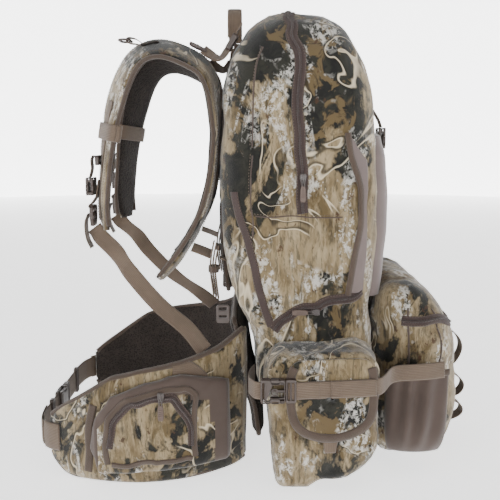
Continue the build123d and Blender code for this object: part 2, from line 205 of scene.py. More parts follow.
# %% [markdown]
# ## Camouflage cloth
# The cloth is printed with a woodland pattern: sand and ochre ground, dark
# green-grey shadows, pale lichen speckle, and thin cream contour lines like the
# edge of peeled bark. It is generic. Noise bent by other noise gives shapes that
# never repeat, and object coordinates keep the print fixed to the cloth.

# %% camouflage
SAND = (0.1663, 0.1242, 0.0666)
PALE_SAND = (0.2962, 0.2351, 0.1436)
OCHRE = (0.0759, 0.0516, 0.0213)
SHADOW = (0.0028, 0.0028, 0.002)
MOSS = (0.0122, 0.0117, 0.0076)
LICHEN = (0.4536, 0.4366, 0.3969)
RUST = (0.0357, 0.0152, 0.0066)
CREAM = (0.4788, 0.407, 0.2873)


def camouflage(name, shift):
    paint = Paint(name, roughness=0.88, sheen=0.25, specular=0.2)
    spot = paint.stretch(paint.place(), (1.0, 1.0, 0.8), shift)
    drift = paint.cloud(spot, 9.0, 2.0)
    # broad ground: ochre pools in sand
    ground = paint.mix(paint.cloud(spot, 13.0, 6.0, 0.62, 0.8).above(0.50, 0.09), SAND, OCHRE)
    pale = paint.cloud(paint.stretch(spot, (1.0, 1.0, 0.35)), 46.0, 7.0, 0.7, 0.5).above(0.52, 0.07)
    ground = paint.mix(pale * 0.60, ground, PALE_SAND)
    grain = paint.cloud(paint.stretch(spot, (1.0, 1.0, 0.22)), 210.0, 4.0, 0.7).above(0.57, 0.05)
    ground = paint.mix(grain * 0.6, ground, MOSS)
    # dark woodland patches with ragged edges
    region = paint.cloud(spot, 7.5, 5.0, 0.62, 1.0)
    ragged = region + paint.cloud(spot, 75.0, 4.0, 0.65) * 0.16 - 0.08
    dark = ragged.above(0.500, 0.020)
    moss = paint.mix(paint.cloud(spot, 38.0, 6.0, 0.7, 0.6).above(0.5, 0.07), SHADOW, MOSS)
    ochre_leaf = paint.cloud(spot, 27.0, 4.0, 0.6, 0.9).above(0.575, 0.02)
    moss = paint.mix(ochre_leaf, moss, OCHRE)
    body = paint.mix(dark, ground, moss)
    # lichen: bright speckle gathered in drifts over the dark
    speckle = paint.cloud(spot, 120.0, 6.0, 0.75, 0.4).above(0.515, 0.035)
    drifts = paint.cloud(paint.stretch(spot, (1.0, 1.0, 0.7), (3.1, 0.4, 1.2)), 15.0, 4.0, 0.6, 0.7)
    lichen = speckle * drifts.above(0.555, 0.03)
    body = paint.mix(lichen * 0.75, body, LICHEN)
    rust = paint.cloud(paint.stretch(spot, (1, 1, 1), (1.7, 5.2, 0.3)), 60.0, 4.0, 0.6).above(0.66, 0.02)
    body = paint.mix(rust * 0.85, body, RUST)
    # cream contours that wander along the patches, thick and thin
    bark = paint.cloud(paint.stretch(spot, (1, 1, 1), (8.3, 2.6, 4.4)), 10.5, 2.0, 0.45, 1.3)
    line = 1.0 - (bark - 0.5).absolute().above(0.0085, 0.0035)
    only = drift.above(0.535, 0.03)
    body = paint.mix(line * only * 0.95, body, CREAM)
    inside = (bark - 0.522).absolute()
    body = paint.mix((1.0 - inside.above(0.016, 0.012)) * only * 0.75, body, SHADOW)
    # the weave, and the soft unevenness of brushed cloth
    x, y, z = paint.parts(spot)
    weave = ((y + x) * 5200.0).wave() * (z * 5200.0).wave()
    cloth = weave * 0.25 + paint.cloud(spot, 900.0, 3.0)
    paint.colour(body)
    paint.bump(cloth, 0.0005, 0.55)
    return paint.material


camo = camouflage("camouflage_cloth", (0.13, 0.42, 0.27))
camo_pouch = camouflage("camouflage_cloth_pouches", (2.4, 1.9, 3.3))
print("camouflage made")

# %% [markdown]
# ## Webbing, binding and tape
# Webbing is woven with ribs along its length and a fine cross pattern. It lies
# every which way, so the pattern is drawn in the piece's own UV map, which is
# measured in metres: u across and v along.

# %% webbing and tape
def webbing(name, colour, ribs, depth=0.0004, twill=900.0):
    paint = Paint(name, roughness=0.82, sheen=0.15, specular=0.25)
    across, length = paint.parts(paint.along())[:2]
    rib = (across * (2 * math.pi / ribs)).wave()
    cross = ((length + across * 0.6) * (2 * math.pi * twill / 2)).wave()
    wear = paint.cloud(paint.place(), 45.0, 4.0, 0.6)
    tone = tuple(c * 0.72 for c in colour)
    light = tuple(min(1.0, c * 1.22) for c in colour)
    base = paint.mix(wear, tone, light)
    base = paint.mix((rib * 0.5 + 0.5) * 0.35, base, tuple(c * 0.55 for c in colour))
    paint.colour(base)
    paint.bump(rib * 0.7 + cross * 0.3, depth, 0.8)
    return paint.material


BROWN_WEB = (0.105, 0.075, 0.053)
strap_web = webbing("ribbed_webbing", BROWN_WEB, 0.0024)
binding = webbing("edge_binding", (0.062, 0.042, 0.030), 0.0011)
zip_tape = webbing("zipper_tape", (0.042, 0.027, 0.024), 0.0016)


def coated(name, colour, roughness, speck, bump_depth, specular=0.35, sheen=0.0):
    """Cloth or moulded plastic with one colour, uneven in tone and in gloss."""
    paint = Paint(name, roughness=roughness, specular=specular, sheen=sheen)
    spot = paint.place()
    tone = paint.cloud(spot, 22.0, 5.0, 0.6)
    base = paint.mix(tone, tuple(c * 0.78 for c in colour), tuple(min(1, c * 1.2) for c in colour))
    paint.colour(base)
    paint.rough(paint.cloud(spot, 60.0, 3.0) * 0.2 + (roughness - 0.1))
    paint.bump(paint.cloud(spot, speck, 3.0), bump_depth, 0.6)
    return paint.material


stretch_cloth = coated("stretch_cloth", (0.105, 0.079, 0.073), 0.75, 1500.0, 0.0002, sheen=0.3)
brown_cloth = coated("plain_brown_cloth", (0.048, 0.032, 0.025), 0.85, 1100.0, 0.0004, sheen=0.2)
buckle_plastic = coated("moulded_buckle", (0.034, 0.022, 0.017), 0.45, 2500.0, 0.00004, 0.5)
slider_paint = coated("painted_slider", (0.032, 0.023, 0.020), 0.35, 800.0, 0.00002, 0.6)
pull_rubber = coated("pull_cord_rubber", (0.082, 0.056, 0.045), 0.6, 900.0, 0.0001)
thread = coated("sewing_thread", (0.100, 0.072, 0.052), 0.8, 3000.0, 0.0001)
lining = coated("coated_lining", (0.200, 0.190, 0.175), 0.7, 900.0, 0.0001)
stay_metal = coated("stay_bar", (0.60, 0.61, 0.62), 0.35, 300.0, 0.00002, 0.6)
patch_cloth = coated("woven_patch", (0.030, 0.024, 0.020), 0.8, 1800.0, 0.0003)
patch_mark = coated("woven_patch_stripe", (0.190, 0.145, 0.100), 0.8, 1800.0, 0.0003)


def spacer_mesh(name):
    """Open mesh over foam: rows of small holes between soft threads, with painted shade that makes each hole
    near black.
    """
    paint = Paint(name, roughness=0.9, sheen=0.04, specular=0.2)
    spot = paint.place()
    holes = paint.cells(spot, 330.0)
    # painted shade: the centre of each hole, where the bump sinks, is marked for a near-black colour
    shaded_hole = 1.0 - holes.above(0.34, 0.12)
    tone = paint.cloud(spot, 30.0, 3.0)
    threads = paint.mix(tone, (0.016, 0.012, 0.010), (0.032, 0.025, 0.021))
    # the threads keep their own tone; the holes get painted shade, near black
    paint.colour(paint.mix(shaded_hole, threads, (0.004, 0.003, 0.003)))
    paint.bump(holes, 0.0012, 0.9)
    return paint.material


mesh_cloth = spacer_mesh("spacer_mesh")
print("finishes made")

# %% [markdown]
# ## Tools for cloth and straps
# Three shapes make most of the pack: a bag lofted through rounded rectangles, a
# strip that follows a line, and a flat moulding with holes. Each gets one helper.
# A line is drawn through a few given points with a smooth curve.

# %% lines and meshes
def in_scene(name, data):
    """A new object with this data, linked to the scene."""
    thing = bpy.data.objects.new(name, data)
    bpy.context.scene.collection.objects.link(thing)
    return thing


def evaluated_mesh(piece):
    """A plain mesh of the piece as its modifiers leave it."""
    return bpy.data.meshes.new_from_object(piece.evaluated_get(bpy.context.evaluated_depsgraph_get()))


def run_along(points):
    """The distance along a line, at each of its points."""
    return np.concatenate([[0], np.cumsum(np.linalg.norm(np.diff(points, axis=0), axis=1))])


def unit(v):
    return v / np.maximum(np.linalg.norm(v, axis=-1, keepdims=True), 1e-9)


def heading(points):
    """The direction of a line, at each of its points."""
    return unit(np.gradient(points, axis=0))


def curve_through(points, count):
    """Count points, evenly spaced, on a smooth curve through the given ones."""
    p = np.array(points, float)
    ends = np.vstack([2 * p[0] - p[1], p, 2 * p[-1] - p[-2]])
    fine = []
    for a, b, c, d in zip(ends, ends[1:], ends[2:], ends[3:]):
        for t in np.linspace(0, 1, 12, endpoint=False):
            fine.append(0.5 * (2 * b + (c - a) * t + (2 * a - 5 * b + 4 * c - d) * t ** 2
                               + (3 * b - a - 3 * c + d) * t ** 3))
    fine.append(p[-1])
    fine = np.array(fine)
    run = run_along(fine)
    at = np.linspace(0, run[-1], count)
    return np.stack([np.interp(at, run, fine[:, k]) for k in range(p.shape[1])], axis=1)


def mesh_piece(name, verts, faces, material, smooth=True, uv=None):
    """A mesh object at the origin; uv is one (u, v) pair for each vertex."""
    mesh = bpy.data.meshes.new(name)
    mesh.from_pydata([tuple(v) for v in verts], [], [tuple(f) for f in faces])
    mesh.validate()
    if uv is not None:
        layer = mesh.uv_layers.new(name="UVMap")
        corner = np.zeros(len(mesh.loops), dtype=np.int32)
        mesh.loops.foreach_get("vertex_index", corner)
        layer.data.foreach_set("uv", np.array(uv, np.float32)[corner].ravel())
    for m in (material if isinstance(material, (list, tuple)) else [material]):
        mesh.materials.append(m)
    mesh.shade_smooth() if smooth else mesh.shade_flat()
    piece = in_scene(name, mesh)
    return piece


def outwards(piece):
    """Turns every face of a closed piece outwards."""
    work = bmesh.new()
    work.from_mesh(piece.data)
    bmesh.ops.recalc_face_normals(work, faces=work.faces)
    work.to_mesh(piece.data)
    work.free()
    return piece


def tube_faces(rings, around, closed_ends=True):
    """Faces of a tube of rings, each with the same number of points around."""
    faces = []
    for i in range(rings - 1):
        for j in range(around):
            k = (j + 1) % around
            faces.append((i * around + j, i * around + k, (i + 1) * around + k, (i + 1) * around + j))
    if closed_ends:
        faces.append(tuple(range(around))[::-1])
        faces.append(tuple((rings - 1) * around + j for j in range(around)))
    return faces


def grid_faces(rows, columns, first=0):
    """Quads over a grid of points, counted from the first one."""
    starts = [first + i * columns + j for i in range(rows - 1) for j in range(columns - 1)]
    return [(a, a + 1, a + columns + 1, a + columns) for a in starts]


def border_of(rows, columns):
    """The points round the edge of such a grid, in order."""
    low = list(range(columns))
    right = [i * columns + columns - 1 for i in range(1, rows)]
    high = [(rows - 1) * columns + j for j in range(columns - 2, -1, -1)]
    left = [i * columns for i in range(rows - 2, 0, -1)]
    return low + right + high + left


def joined(name, pieces):
    """Several pieces as one mesh, with their materials kept."""
    base = pieces[0]
    slots = list(base.data.materials)
    work = bmesh.new()
    layer = work.loops.layers.uv.new("UVMap")
    for piece in pieces:
        start = len(work.faces)
        lookup = []
        for material in piece.data.materials:
            if material not in slots:
                slots.append(material)
            lookup.append(slots.index(material))
        work.from_mesh(piece.data)
        work.faces.ensure_lookup_table()
        for face in work.faces[start:]:
            face.material_index = lookup[min(face.material_index, len(lookup) - 1)]
    mesh = bpy.data.meshes.new(name)
    work.to_mesh(mesh)
    work.free()
    for material in slots:
        mesh.materials.append(material)
    for piece in pieces:
        bpy.data.objects.remove(piece)
    whole = in_scene(name, mesh)
    return whole


def rides(piece, body, *nodes, slot=None, padded=None):
    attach(piece, body)
    if nodes:
        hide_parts(*nodes)
    return piece


# %% [markdown]
# A strip has a flat, slightly crowned section. Its frame comes from the line and
# from a direction for its face. With a surface to lie on, each point across the
# strip is dropped onto the cloth, so tape and binding hug every fold.

# %% strips
def frames_along(points, faces_to):
    """Tangent, width direction and face direction at each point."""
    p = np.array(points, float)
    tangent = heading(p)
    face = np.broadcast_to(np.array(faces_to, float), p.shape)
    face = unit(face - (face * tangent).sum(1, keepdims=True) * tangent)
    return tangent, unit(np.cross(tangent, face)), face


def strip(name, points, faces_to, width, thick, material, crown=0.0, across=8, surface=None, lift=0.0006,
          widths=None, soft=0.35):
    """A strap or tape: points is its middle line, faces_to the way its outer face looks."""
    p = np.array(points, float)
    tangent, side, face = frames_along(p, faces_to)
    run = run_along(p)
    u = np.linspace(-1, 1, across)
    verts, uv = [], []
    for i, centre in enumerate(p):
        w = width / 2 if widths is None else widths[i] / 2
        top, low = [], []
        for s in u:
            edge = (1 - abs(s) ** 6 * soft)
            spot = centre + side[i] * w * s
            out = face[i]
            if surface is not None:
                hit, normal, index, gap = surface.find_nearest(Vector(spot))
                spot, out = np.array(hit), np.array(normal)
                spot = spot + out * lift
            top.append(spot + out * (thick * edge + crown * (1 - s * s)))
            low.append(spot - out * (thick * 0.15 if surface is not None else thick * (edge - 1) * 0.3))
        verts += top + low[::-1]
        uv += [(w * s, run[i]) for s in u] + [(w * s, run[i]) for s in u[::-1]]
    piece = mesh_piece(name, verts, tube_faces(len(p), 2 * across), material, uv=uv)
    return outwards(piece)


def cord_tube(name, points, radius, material, around=8, flat=1.0, faces_to=(0.1, 0.2, 1.0)):
    """A round piping or cord along a line."""
    p = np.array(points, float)
    tangent, side, face = frames_along(p, faces_to)
    verts = []
    for i, centre in enumerate(p):
        for k in range(around):
            a = 2 * math.pi * k / around
            verts.append(centre + side[i] * math.cos(a) * radius + face[i] * math.sin(a) * radius * flat)
    run = run_along(p)
    uv = [(radius * k / around * 6, run[i]) for i in range(len(p)) for k in range(around)]
    return outwards(mesh_piece(name, verts, tube_faces(len(p), around), material, uv=uv))


# %% [markdown]
# A bag is lofted: rounded rectangles at a few heights, and a smooth run between
# them. Then the cloth gets its life: broad puffs where it is filled and finer
# creases, both from noise with a fixed place.

# %% lofted bags
def ring_of(front, rear, half, radius, count):
    """A rounded rectangle about (0, (front + rear) / 2), with points spread evenly along it."""
    deep = (rear - front) / 2
    radius = min(radius, half - 1e-4, deep - 1e-4)
    corners = []
    for cx, cy, start in ((half - radius, deep - radius, 0), (-half + radius, deep - radius, 90),
                          (-half + radius, -deep + radius, 180), (half - radius, -deep + radius, 270)):
        for step in range(9):
            a = math.radians(start + step * 90 / 8)
            corners.append((cx + radius * math.cos(a), cy + radius * math.sin(a)))
    corners.append(corners[0])
    c = np.array(corners)
    run = run_along(c)
    at = np.linspace(0, run[-1], count, endpoint=False)
    ring = np.stack([np.interp(at, run, c[:, 0]), np.interp(at, run, c[:, 1])], axis=1)
    ring[:, 1] += (front + rear) / 2
    return ring


def smooth_levels(levels, count):
    """The levels, in metres, on a smooth curve through them."""
    table = np.array(levels, float) * MM
    at = np.linspace(table[0, 0], table[-1, 0], count)
    slopes = np.gradient(table, table[:, 0], axis=0)
    rows = []
    for z in at:
        i = min(np.searchsorted(table[:, 0], z, side="right") - 1, len(table) - 2)
        h = table[i + 1, 0] - table[i, 0]
        t = (z - table[i, 0]) / h
        rows.append((2 * t ** 3 - 3 * t ** 2 + 1) * table[i] + (t ** 3 - 2 * t ** 2 + t) * h * slopes[i]
                    + (3 * t ** 2 - 2 * t ** 3) * table[i + 1] + (t ** 3 - t ** 2) * h * slopes[i + 1])
        rows[-1][0] = z
    return np.array(rows)


def crease(point, size, seed):
    """A fold-like noise from -1 to 1: sharp valleys between round puffs."""
    n = noise.noise(Vector(point) / size + Vector((seed, seed * 1.7, -seed)))
    return 1.0 - 2.2 * abs(n)


def puffed(verts, normals, amounts, seed, tall=1.0):
    """Moves each vertex along its normal by layers of noise: (size, depth, creased)."""
    moved = []
    for v, n in zip(verts, normals):
        shift = 0.0
        spot = (v[0], v[1], v[2] * tall)
        for size, depth, creased in amounts:
            if creased:
                shift += depth * crease(spot, size, seed)
            else:
                shift += depth * noise.noise(Vector(spot) / size + Vector((seed, 0, seed)))
        moved.append(v + n * shift)
    return np.array(moved)


CAP_CENTRE = 0.15


def lofted_bag(name, levels, material, puffs, seed, rings=90, around=150, dome=0.006, tall=1.0):
    rows = smooth_levels(levels, rings)
    verts = []
    caps = 7
    for k in range(caps):
        share = math.sin(math.pi / 2 * k / caps)
        z, front, rear, half, radius = rows[0]
        mid = (front + rear) / 2
        ring = ring_of(front, rear, half, radius, around)
        pulled = CAP_CENTRE + (1 - CAP_CENTRE) * share
        ring = np.array([(x * pulled, mid + (y - mid) * pulled) for x, y in ring])
        verts.append(np.column_stack([ring, np.full(around, z)]))
    for z, front, rear, half, radius in rows:
        verts.append(np.column_stack([ring_of(front, rear, half, radius, around), np.full(around, z)]))
    for k in range(1, caps + 1):
        share = math.cos(math.pi / 2 * k / (caps + 1))
        z, front, rear, half, radius = rows[-1]
        mid = (front + rear) / 2
        ring = ring_of(front, rear, half, radius, around)
        ring = np.array([(x * share, mid + (y - mid) * share) for x, y in ring])
        verts.append(np.column_stack([ring, np.full(around, z + dome * (1 - share ** 2))]))
    flat = np.vstack(verts)
    piece = outwards(mesh_piece(name, flat, tube_faces(len(verts), around), material))
    normals = np.array([v.normal for v in piece.data.vertices])
    moved = puffed(flat, normals, puffs, seed, tall)
    floor = levels[0][0] * MM
    moved[:, 2] = np.maximum(moved[:, 2], floor)
    piece.data.vertices.foreach_set("co", moved.astype(np.float32).ravel())
    piece.data.update()
    print(name, len(piece.data.vertices), "vertices")
    return piece


def skin_of(*pieces):
    """The surface of some pieces, for tape and stitches to lie on."""
    verts, faces = [], []
    for piece in pieces:
        base = len(verts)
        verts += [v.co.copy() for v in piece.data.vertices]
        faces += [[base + i for i in p.vertices] for p in piece.data.polygons]
    return BVHTree.FromPolygons(verts, faces)


def steadied(values, window=9):
    """A moving average along a line, with its ends kept."""
    v = np.array(values, float)
    ends = np.concatenate([np.repeat(v[:1], window // 2, 0), v, np.repeat(v[-1:], window // 2, 0)])
    return np.stack([np.convolve(ends[:, k], np.ones(window) / window, "valid") for k in range(3)], 1)


def draped_line(surface, points, count, lift=0.0):
    """A line through guide points, dropped onto a surface and evened out as a sewn tape is."""
    line = curve_through(points, count)
    for step in range(4):
        found = [surface.find_nearest(Vector(p)) for p in line]
        line = np.array([hit for hit, normal, index, gap in found])
        if step < 3:
            line = steadied(line)
    return line + np.array([normal for hit, normal, index, gap in found]) * lift


def normals_at(surface, points):
    return unit(steadied([surface.find_nearest(Vector(p))[1] for p in points]))


# %% [markdown]
# ## Stitches and zipper coils
# Both are one small shape repeated along a line, which is what Geometry Nodes are
# for. The line's points carry two directions, along and out, and the tree puts one
# item on each point, turned to them. Items are realised, so they stay as plain mesh.

# %% the repeating tree
def repeating_tree():
    tree = bpy.data.node_groups.new("items_on_points", "GeometryNodeTree")
    face = tree.interface
    face.new_socket("Geometry", in_out="INPUT", socket_type="NodeSocketGeometry")
    sockets = {}
    for label, start in (("Item length", 0.003), ("Item width", 0.0008), ("Item height", 0.0006)):
        item = face.new_socket(label, in_out="INPUT", socket_type="NodeSocketFloat")
        item.default_value = start
        sockets[label] = item.identifier
    item = face.new_socket("Finish", in_out="INPUT", socket_type="NodeSocketMaterial")
    sockets["Finish"] = item.identifier
    face.new_socket("Geometry", in_out="OUTPUT", socket_type="NodeSocketGeometry")
    nodes, link = tree.nodes, tree.links.new
    source, result = nodes.new("NodeGroupInput"), nodes.new("NodeGroupOutput")
    size = nodes.new("ShaderNodeCombineXYZ")
    link(source.outputs["Item length"], size.inputs[0])
    link(source.outputs["Item width"], size.inputs[1])
    link(source.outputs["Item height"], size.inputs[2])
    ball = nodes.new("GeometryNodeMeshUVSphere")
    ball.inputs["Segments"].default_value = 6
    ball.inputs["Rings"].default_value = 4
    ball.inputs["Radius"].default_value = 0.5
    along, out = nodes.new("GeometryNodeInputNamedAttribute"), nodes.new("GeometryNodeInputNamedAttribute")
    for node, label in ((along, "along"), (out, "out")):
        node.data_type = "FLOAT_VECTOR"
        node.inputs["Name"].default_value = label
    turn = nodes.new("FunctionNodeAxesToRotation")
    turn.primary_axis, turn.secondary_axis = "X", "Z"
    link(along.outputs["Attribute"], turn.inputs[0])
    link(out.outputs["Attribute"], turn.inputs[1])
    place = nodes.new("GeometryNodeInstanceOnPoints")
    link(source.outputs["Geometry"], place.inputs["Points"])
    link(ball.outputs["Mesh"], place.inputs["Instance"])
    link(turn.outputs[0], place.inputs["Rotation"])
    link(size.outputs[0], place.inputs["Scale"])
    real, paint = nodes.new("GeometryNodeRealizeInstances"), nodes.new("GeometryNodeSetMaterial")
    link(place.outputs[0], real.inputs[0])
    link(real.outputs[0], paint.inputs["Geometry"])
    link(source.outputs["Finish"], paint.inputs["Material"])
    link(paint.outputs[0], result.inputs[0])
    return tree, sockets


items_tree, item_sockets = repeating_tree()


def items_along(name, lines, spacing, size, finish, lift=0.0):
    """Small items in rows. lines is a list of (points, outward directions)."""
    spots, along, out = [], [], []
    for points, normals in lines:
        p, n = np.array(points), np.array(normals)
        if n.ndim == 1:
            n = np.broadcast_to(n, p.shape)
        run = run_along(p)
        count = max(2, int(run[-1] / spacing))
        at = np.linspace(spacing / 2, run[-1] - spacing / 2, count)
        q = np.stack([np.interp(at, run, p[:, k]) for k in range(3)], 1)
        m = unit(np.stack([np.interp(at, run, n[:, k]) for k in range(3)], 1))
        t = unit(np.stack([np.interp(at, run, heading(p)[:, k]) for k in range(3)], 1))
        spots.append(q + m * lift)
        along.append(t)
        out.append(m)
    spots, along, out = np.vstack(spots), np.vstack(along), np.vstack(out)
    mesh = bpy.data.meshes.new(name)
    mesh.from_pydata([tuple(s) for s in spots], [], [])
    for label, data in (("along", along), ("out", out)):
        layer = mesh.attributes.new(label, "FLOAT_VECTOR", "POINT")
        layer.data.foreach_set("vector", data.astype(np.float32).ravel())
    piece = in_scene(name, mesh)
    change = piece.modifiers.new("items", "NODES")
    change.node_group = items_tree
    for label, value in zip(("Item length", "Item width", "Item height"), size):
        change[item_sockets[label]] = value
    change[item_sockets["Finish"]] = finish
    bpy.context.view_layer.update()
    solid = evaluated_mesh(piece)
    piece.modifiers.clear()
    piece.data = solid
    solid.shade_smooth()
    for label in ("along", "out"):
        if label in solid.attributes:
            solid.attributes.remove(solid.attributes[label])
    return piece


def seam(name, surface, guide_lines, count=60, offset=0.0006, spacing=0.0042):
    """Rows of stitches dropped onto a surface."""
    lines = []
    for guide in guide_lines:
        line = draped_line(surface, guide, count)
        lines.append((line, normals_at(surface, line)))
    return items_along(name, lines, spacing, (0.0031, 0.0009, 0.0007), thread, offset)


# %% [markdown]
# ## Camera, floor and light
# The view is square to the pack's left side, a little above its middle, with a
# long lens. Big soft panels light it from above and both sides. The floor and a
# ring of screen round it glow, so the ground is pale from every side and only a
# faint shadow lies under the belt and pockets.

# %% camera and light
CAMERA_AT = Vector((-1.2, 0.100, 0.503))
CAMERA_DIP = math.radians(8.8)
lens = bpy.data.cameras.new("camera")
lens.lens = 52.0
lens.sensor_width = 36.0
camera = in_scene("camera", lens)
camera.location = CAMERA_AT
look = Vector((math.cos(CAMERA_DIP), 0.0, -math.sin(CAMERA_DIP)))
camera.rotation_mode = "QUATERNION"
camera.rotation_quaternion = look.to_track_quat("-Z", "Y")
bpy.context.scene.camera = camera


def soft_panel(name, at, aim, size, power):
    light = bpy.data.lights.new(name, "AREA")
    light.shape = "SQUARE"
    light.size = size
    light.energy = power
    lamp = in_scene(name, light)
    lamp.location = at
    lamp.rotation_mode = "QUATERNION"
    lamp.rotation_quaternion = (Vector(aim) - Vector(at)).to_track_quat("-Z", "Y")
    return lamp


middle = (cad_low + cad_high) / 2
soft_panel("top_panel", (-0.5, 0.1, 2.6), middle, 2.2, 19)
soft_panel("key_panel", (-2.0, 1.5, 1.6), middle, 1.6, 12)
soft_panel("front_panel", (-2.0, -1.5, 1.1), middle, 1.6, 2)
soft_panel("far_panel", (2.0, 0.6, 1.6), middle, 1.6, 3)
world = bpy.data.worlds.new("studio")
bpy.context.scene.world = world
world.use_nodes = True
world.node_tree.nodes["Background"].inputs[0].default_value = (1.0, 1.0, 1.0, 1.0)
world.node_tree.nodes["Background"].inputs[1].default_value = 0.15

floor_paint = Paint("pale_floor", roughness=0.9, specular=0.1)
floor_tone = floor_paint.cloud(floor_paint.place(), 3.0, 2.0)
floor_paint.colour(floor_paint.mix(floor_tone, (0.93, 0.93, 0.93), (0.95, 0.95, 0.95)))
FLOOR = 6.0
floor = mesh_piece("floor", [(-FLOOR, -FLOOR, 0), (FLOOR, -FLOOR, 0), (FLOOR, FLOOR, 0),
                             (-FLOOR, FLOOR, 0)], [(0, 1, 2, 3)], floor_paint.material, smooth=False)
floor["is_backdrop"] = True
screen_paint = Paint("studio_screen", roughness=0.9, specular=0.0)
for paint, glow in ((floor_paint, 1.5), (screen_paint, 3.6)):
    surface = next(n for n in paint.material.node_tree.nodes if n.type == "BSDF_PRINCIPLED")
    surface.inputs["Emission Color"].default_value = (1.0, 1.0, 1.0, 1.0)
    surface.inputs["Emission Strength"].default_value = glow
RING, TALL, SIDES_ROUND = 5.5, 1.9, 64
circle = [(RING * math.cos(2 * math.pi * k / SIDES_ROUND), RING * math.sin(2 * math.pi * k / SIDES_ROUND))
          for k in range(SIDES_ROUND)]
screen = mesh_piece("screen", [(x, y, z) for z in (0.0, TALL) for x, y in circle],
                    [(k, k + SIDES_ROUND, (k + 1) % SIDES_ROUND + SIDES_ROUND, (k + 1) % SIDES_ROUND)
                     for k in range(SIDES_ROUND)], screen_paint.material, smooth=False)
screen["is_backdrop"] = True

# %% [markdown]
# ## The main bag
# Two lofted shells, the lower bag and the tall upper bag, meet at the lower
# zipper. The bag is packed, so its cloth is tight with broad soft dents.

# %% the two shells
# one entry a level, in millimetres: height, front y, rear y, half width, corner radius
UPPER = [(250, -80, 116, 160, 46), (300, -86, 131, 161, 48), (352, -90, 139, 160, 48),
         (440, -90, 141, 158, 48), (520, -84, 138, 153, 46), (590, -74, 132, 146, 44),
         (636, -54, 114, 134, 42), (666, -34, 94, 114, 40), (682, -14, 74, 92, 36)]
LOWER = [(0, -58, 58, 132, 30), (24, -78, 66, 150, 38), (80, -85, 68, 160, 42), (119, -86, 84, 162, 42),
         (181, -86, 92, 162, 44), (240, -82, 110, 161, 46), (258, -80, 118, 158, 46)]
BAG_PUFFS = [(0.14, 0.0045, False), (0.06, 0.0022, True), (0.028, 0.0012, True)]

upper = lofted_bag("upper_bag_cloth", UPPER, camo, BAG_PUFFS, 3.3, rings=110, around=190, dome=0.007,
                   tall=0.6)
lower = lofted_bag("lower_bag_cloth", LOWER, camo, BAG_PUFFS, 7.1, rings=70, around=190, dome=0.0)
bag_skin = skin_of(upper, lower)


def bag_side(y, z, sign):
    """A point just off the bag's side, for a guide line."""
    return (sign * 0.185, y * MM, z * MM)


# %% [markdown]
# ## Zippers of the bag
# A zipper is a strip of tape with a coil down its middle. The main one runs up each
# side and over the top. The lower one slopes across each side. A third strip of
# the same tape covers the gusset's seam, from the back edge down to the lower one.

# %% tapes and coils
def zipper(name, surface, guide, width, count, coil=True, tape_material=None):
    line = draped_line(surface, guide, count)
    out = normals_at(surface, line)
    pieces = [strip(name + "_tape", line, out, width, 0.0012, tape_material or zip_tape, across=9,
                    surface=surface, lift=0.0008)]
    if coil:
        ridge = line + out * 0.0026
        pieces.append(cord_tube(name + "_coil", ridge, 0.0021, zip_tape, around=8, flat=0.6))
        pieces.append(items_along(name + "_teeth", [(ridge, out)], 0.0024, (0.0012, 0.0052, 0.0018),
                                  slider_paint, 0.0007))
    edge = unit(np.cross(heading(line), out))
    rows = []
    for way in (-1, 1):
        side_line = draped_line(surface, line + edge * way * width * 0.42, count)
        rows.append((side_line, normals_at(surface, side_line)))
    pieces.append(items_along(name + "_stitches", rows, 0.0042, (0.0030, 0.0008, 0.0006), thread, 0.0021))
    return joined(name, pieces)


MAIN_SIDE = [(21, 391), (25, 458), (29, 515), (31, 570), (35, 625), (41, 668)]
left_climb = [bag_side(y, z, -1) for y, z in MAIN_SIDE]
right_climb = [bag_side(y, z, 1) for y, z in MAIN_SIDE]
over_top = [(x * MM, 0.044, 0.73) for x in (-110, -60, 0, 60, 110)]
main_zip = zipper("main_zipper_tape", bag_skin, left_climb + over_top + right_climb[::-1], 0.017, 420)
rides(main_zip, "pack", "main_zipper", slot="zip_tape")

LOWER_LINE = [(74, 222), (49, 243), (14, 259), (-32, 268), (-61, 272), (-84, 280)]
lower_zips = []
for side, sign in SIDES.items():
    lower_zips.append(zipper(f"lower_zip_{side}", bag_skin, [bag_side(y, z, sign) for y, z in LOWER_LINE],
                             0.015, 120))
lower_zip = joined("lower_zipper_tape", lower_zips)
rides(lower_zip, "pack", "lower_zipper", slot="zip_tape")

GUSSET_LINE = [(150, 430), (128, 385), (104, 330), (92, 280), (76, 224)]
gussets = [zipper(f"gusset_{side}", bag_skin, [bag_side(y, z, sign) for y, z in GUSSET_LINE], 0.012, 110,
                  coil=False) for side, sign in SIDES.items()]
gusset_tape = joined("gusset_tape", gussets)
rides(gusset_tape, "pack", slot="zip_tape")

# seams: the panel seams of each side, stitched twice
SEAMS = [[(101, 352), (101, 400), (101, 440), (100, 484)], [(101, 391), (60, 391), (0, 391), (-40, 391)],
         [(100, 484), (98, 560), (92, 620), (80, 655)]]
seam_rows = []
for sign in SIDES.values():
    for path in SEAMS:
        seam_rows.append([bag_side(y, z, sign) for y, z in path])
        seam_rows.append([bag_side(y + 3, z + 3, sign) for y, z in path])
bag_seams = seam("bag_seams", bag_skin, seam_rows)
rides(bag_seams, "pack", slot="camo")
welts = [cord_tube("welt", draped_line(bag_skin, guide, 60, 0.0002), 0.0011, brown_cloth, around=6)
         for guide in seam_rows[::2]]
bag_welts = joined("bag_welts", welts)
rides(bag_welts, "pack", slot="webbing")
rides(upper, "pack", "upper_bag", slot="camo", padded=0.8)
rides(lower, "pack", "lower_bag", slot="camo", padded=0.8)

# %% [markdown]
# ## The front pouch
# A low rounded pouch hangs on the bag's lower front. It is soft, so it gets deeper
# folds than the bag. A cloth simulation swells it from a slightly smaller shape:
# pressure fills it, and a cap keeps each point within a few millimetres of its start.

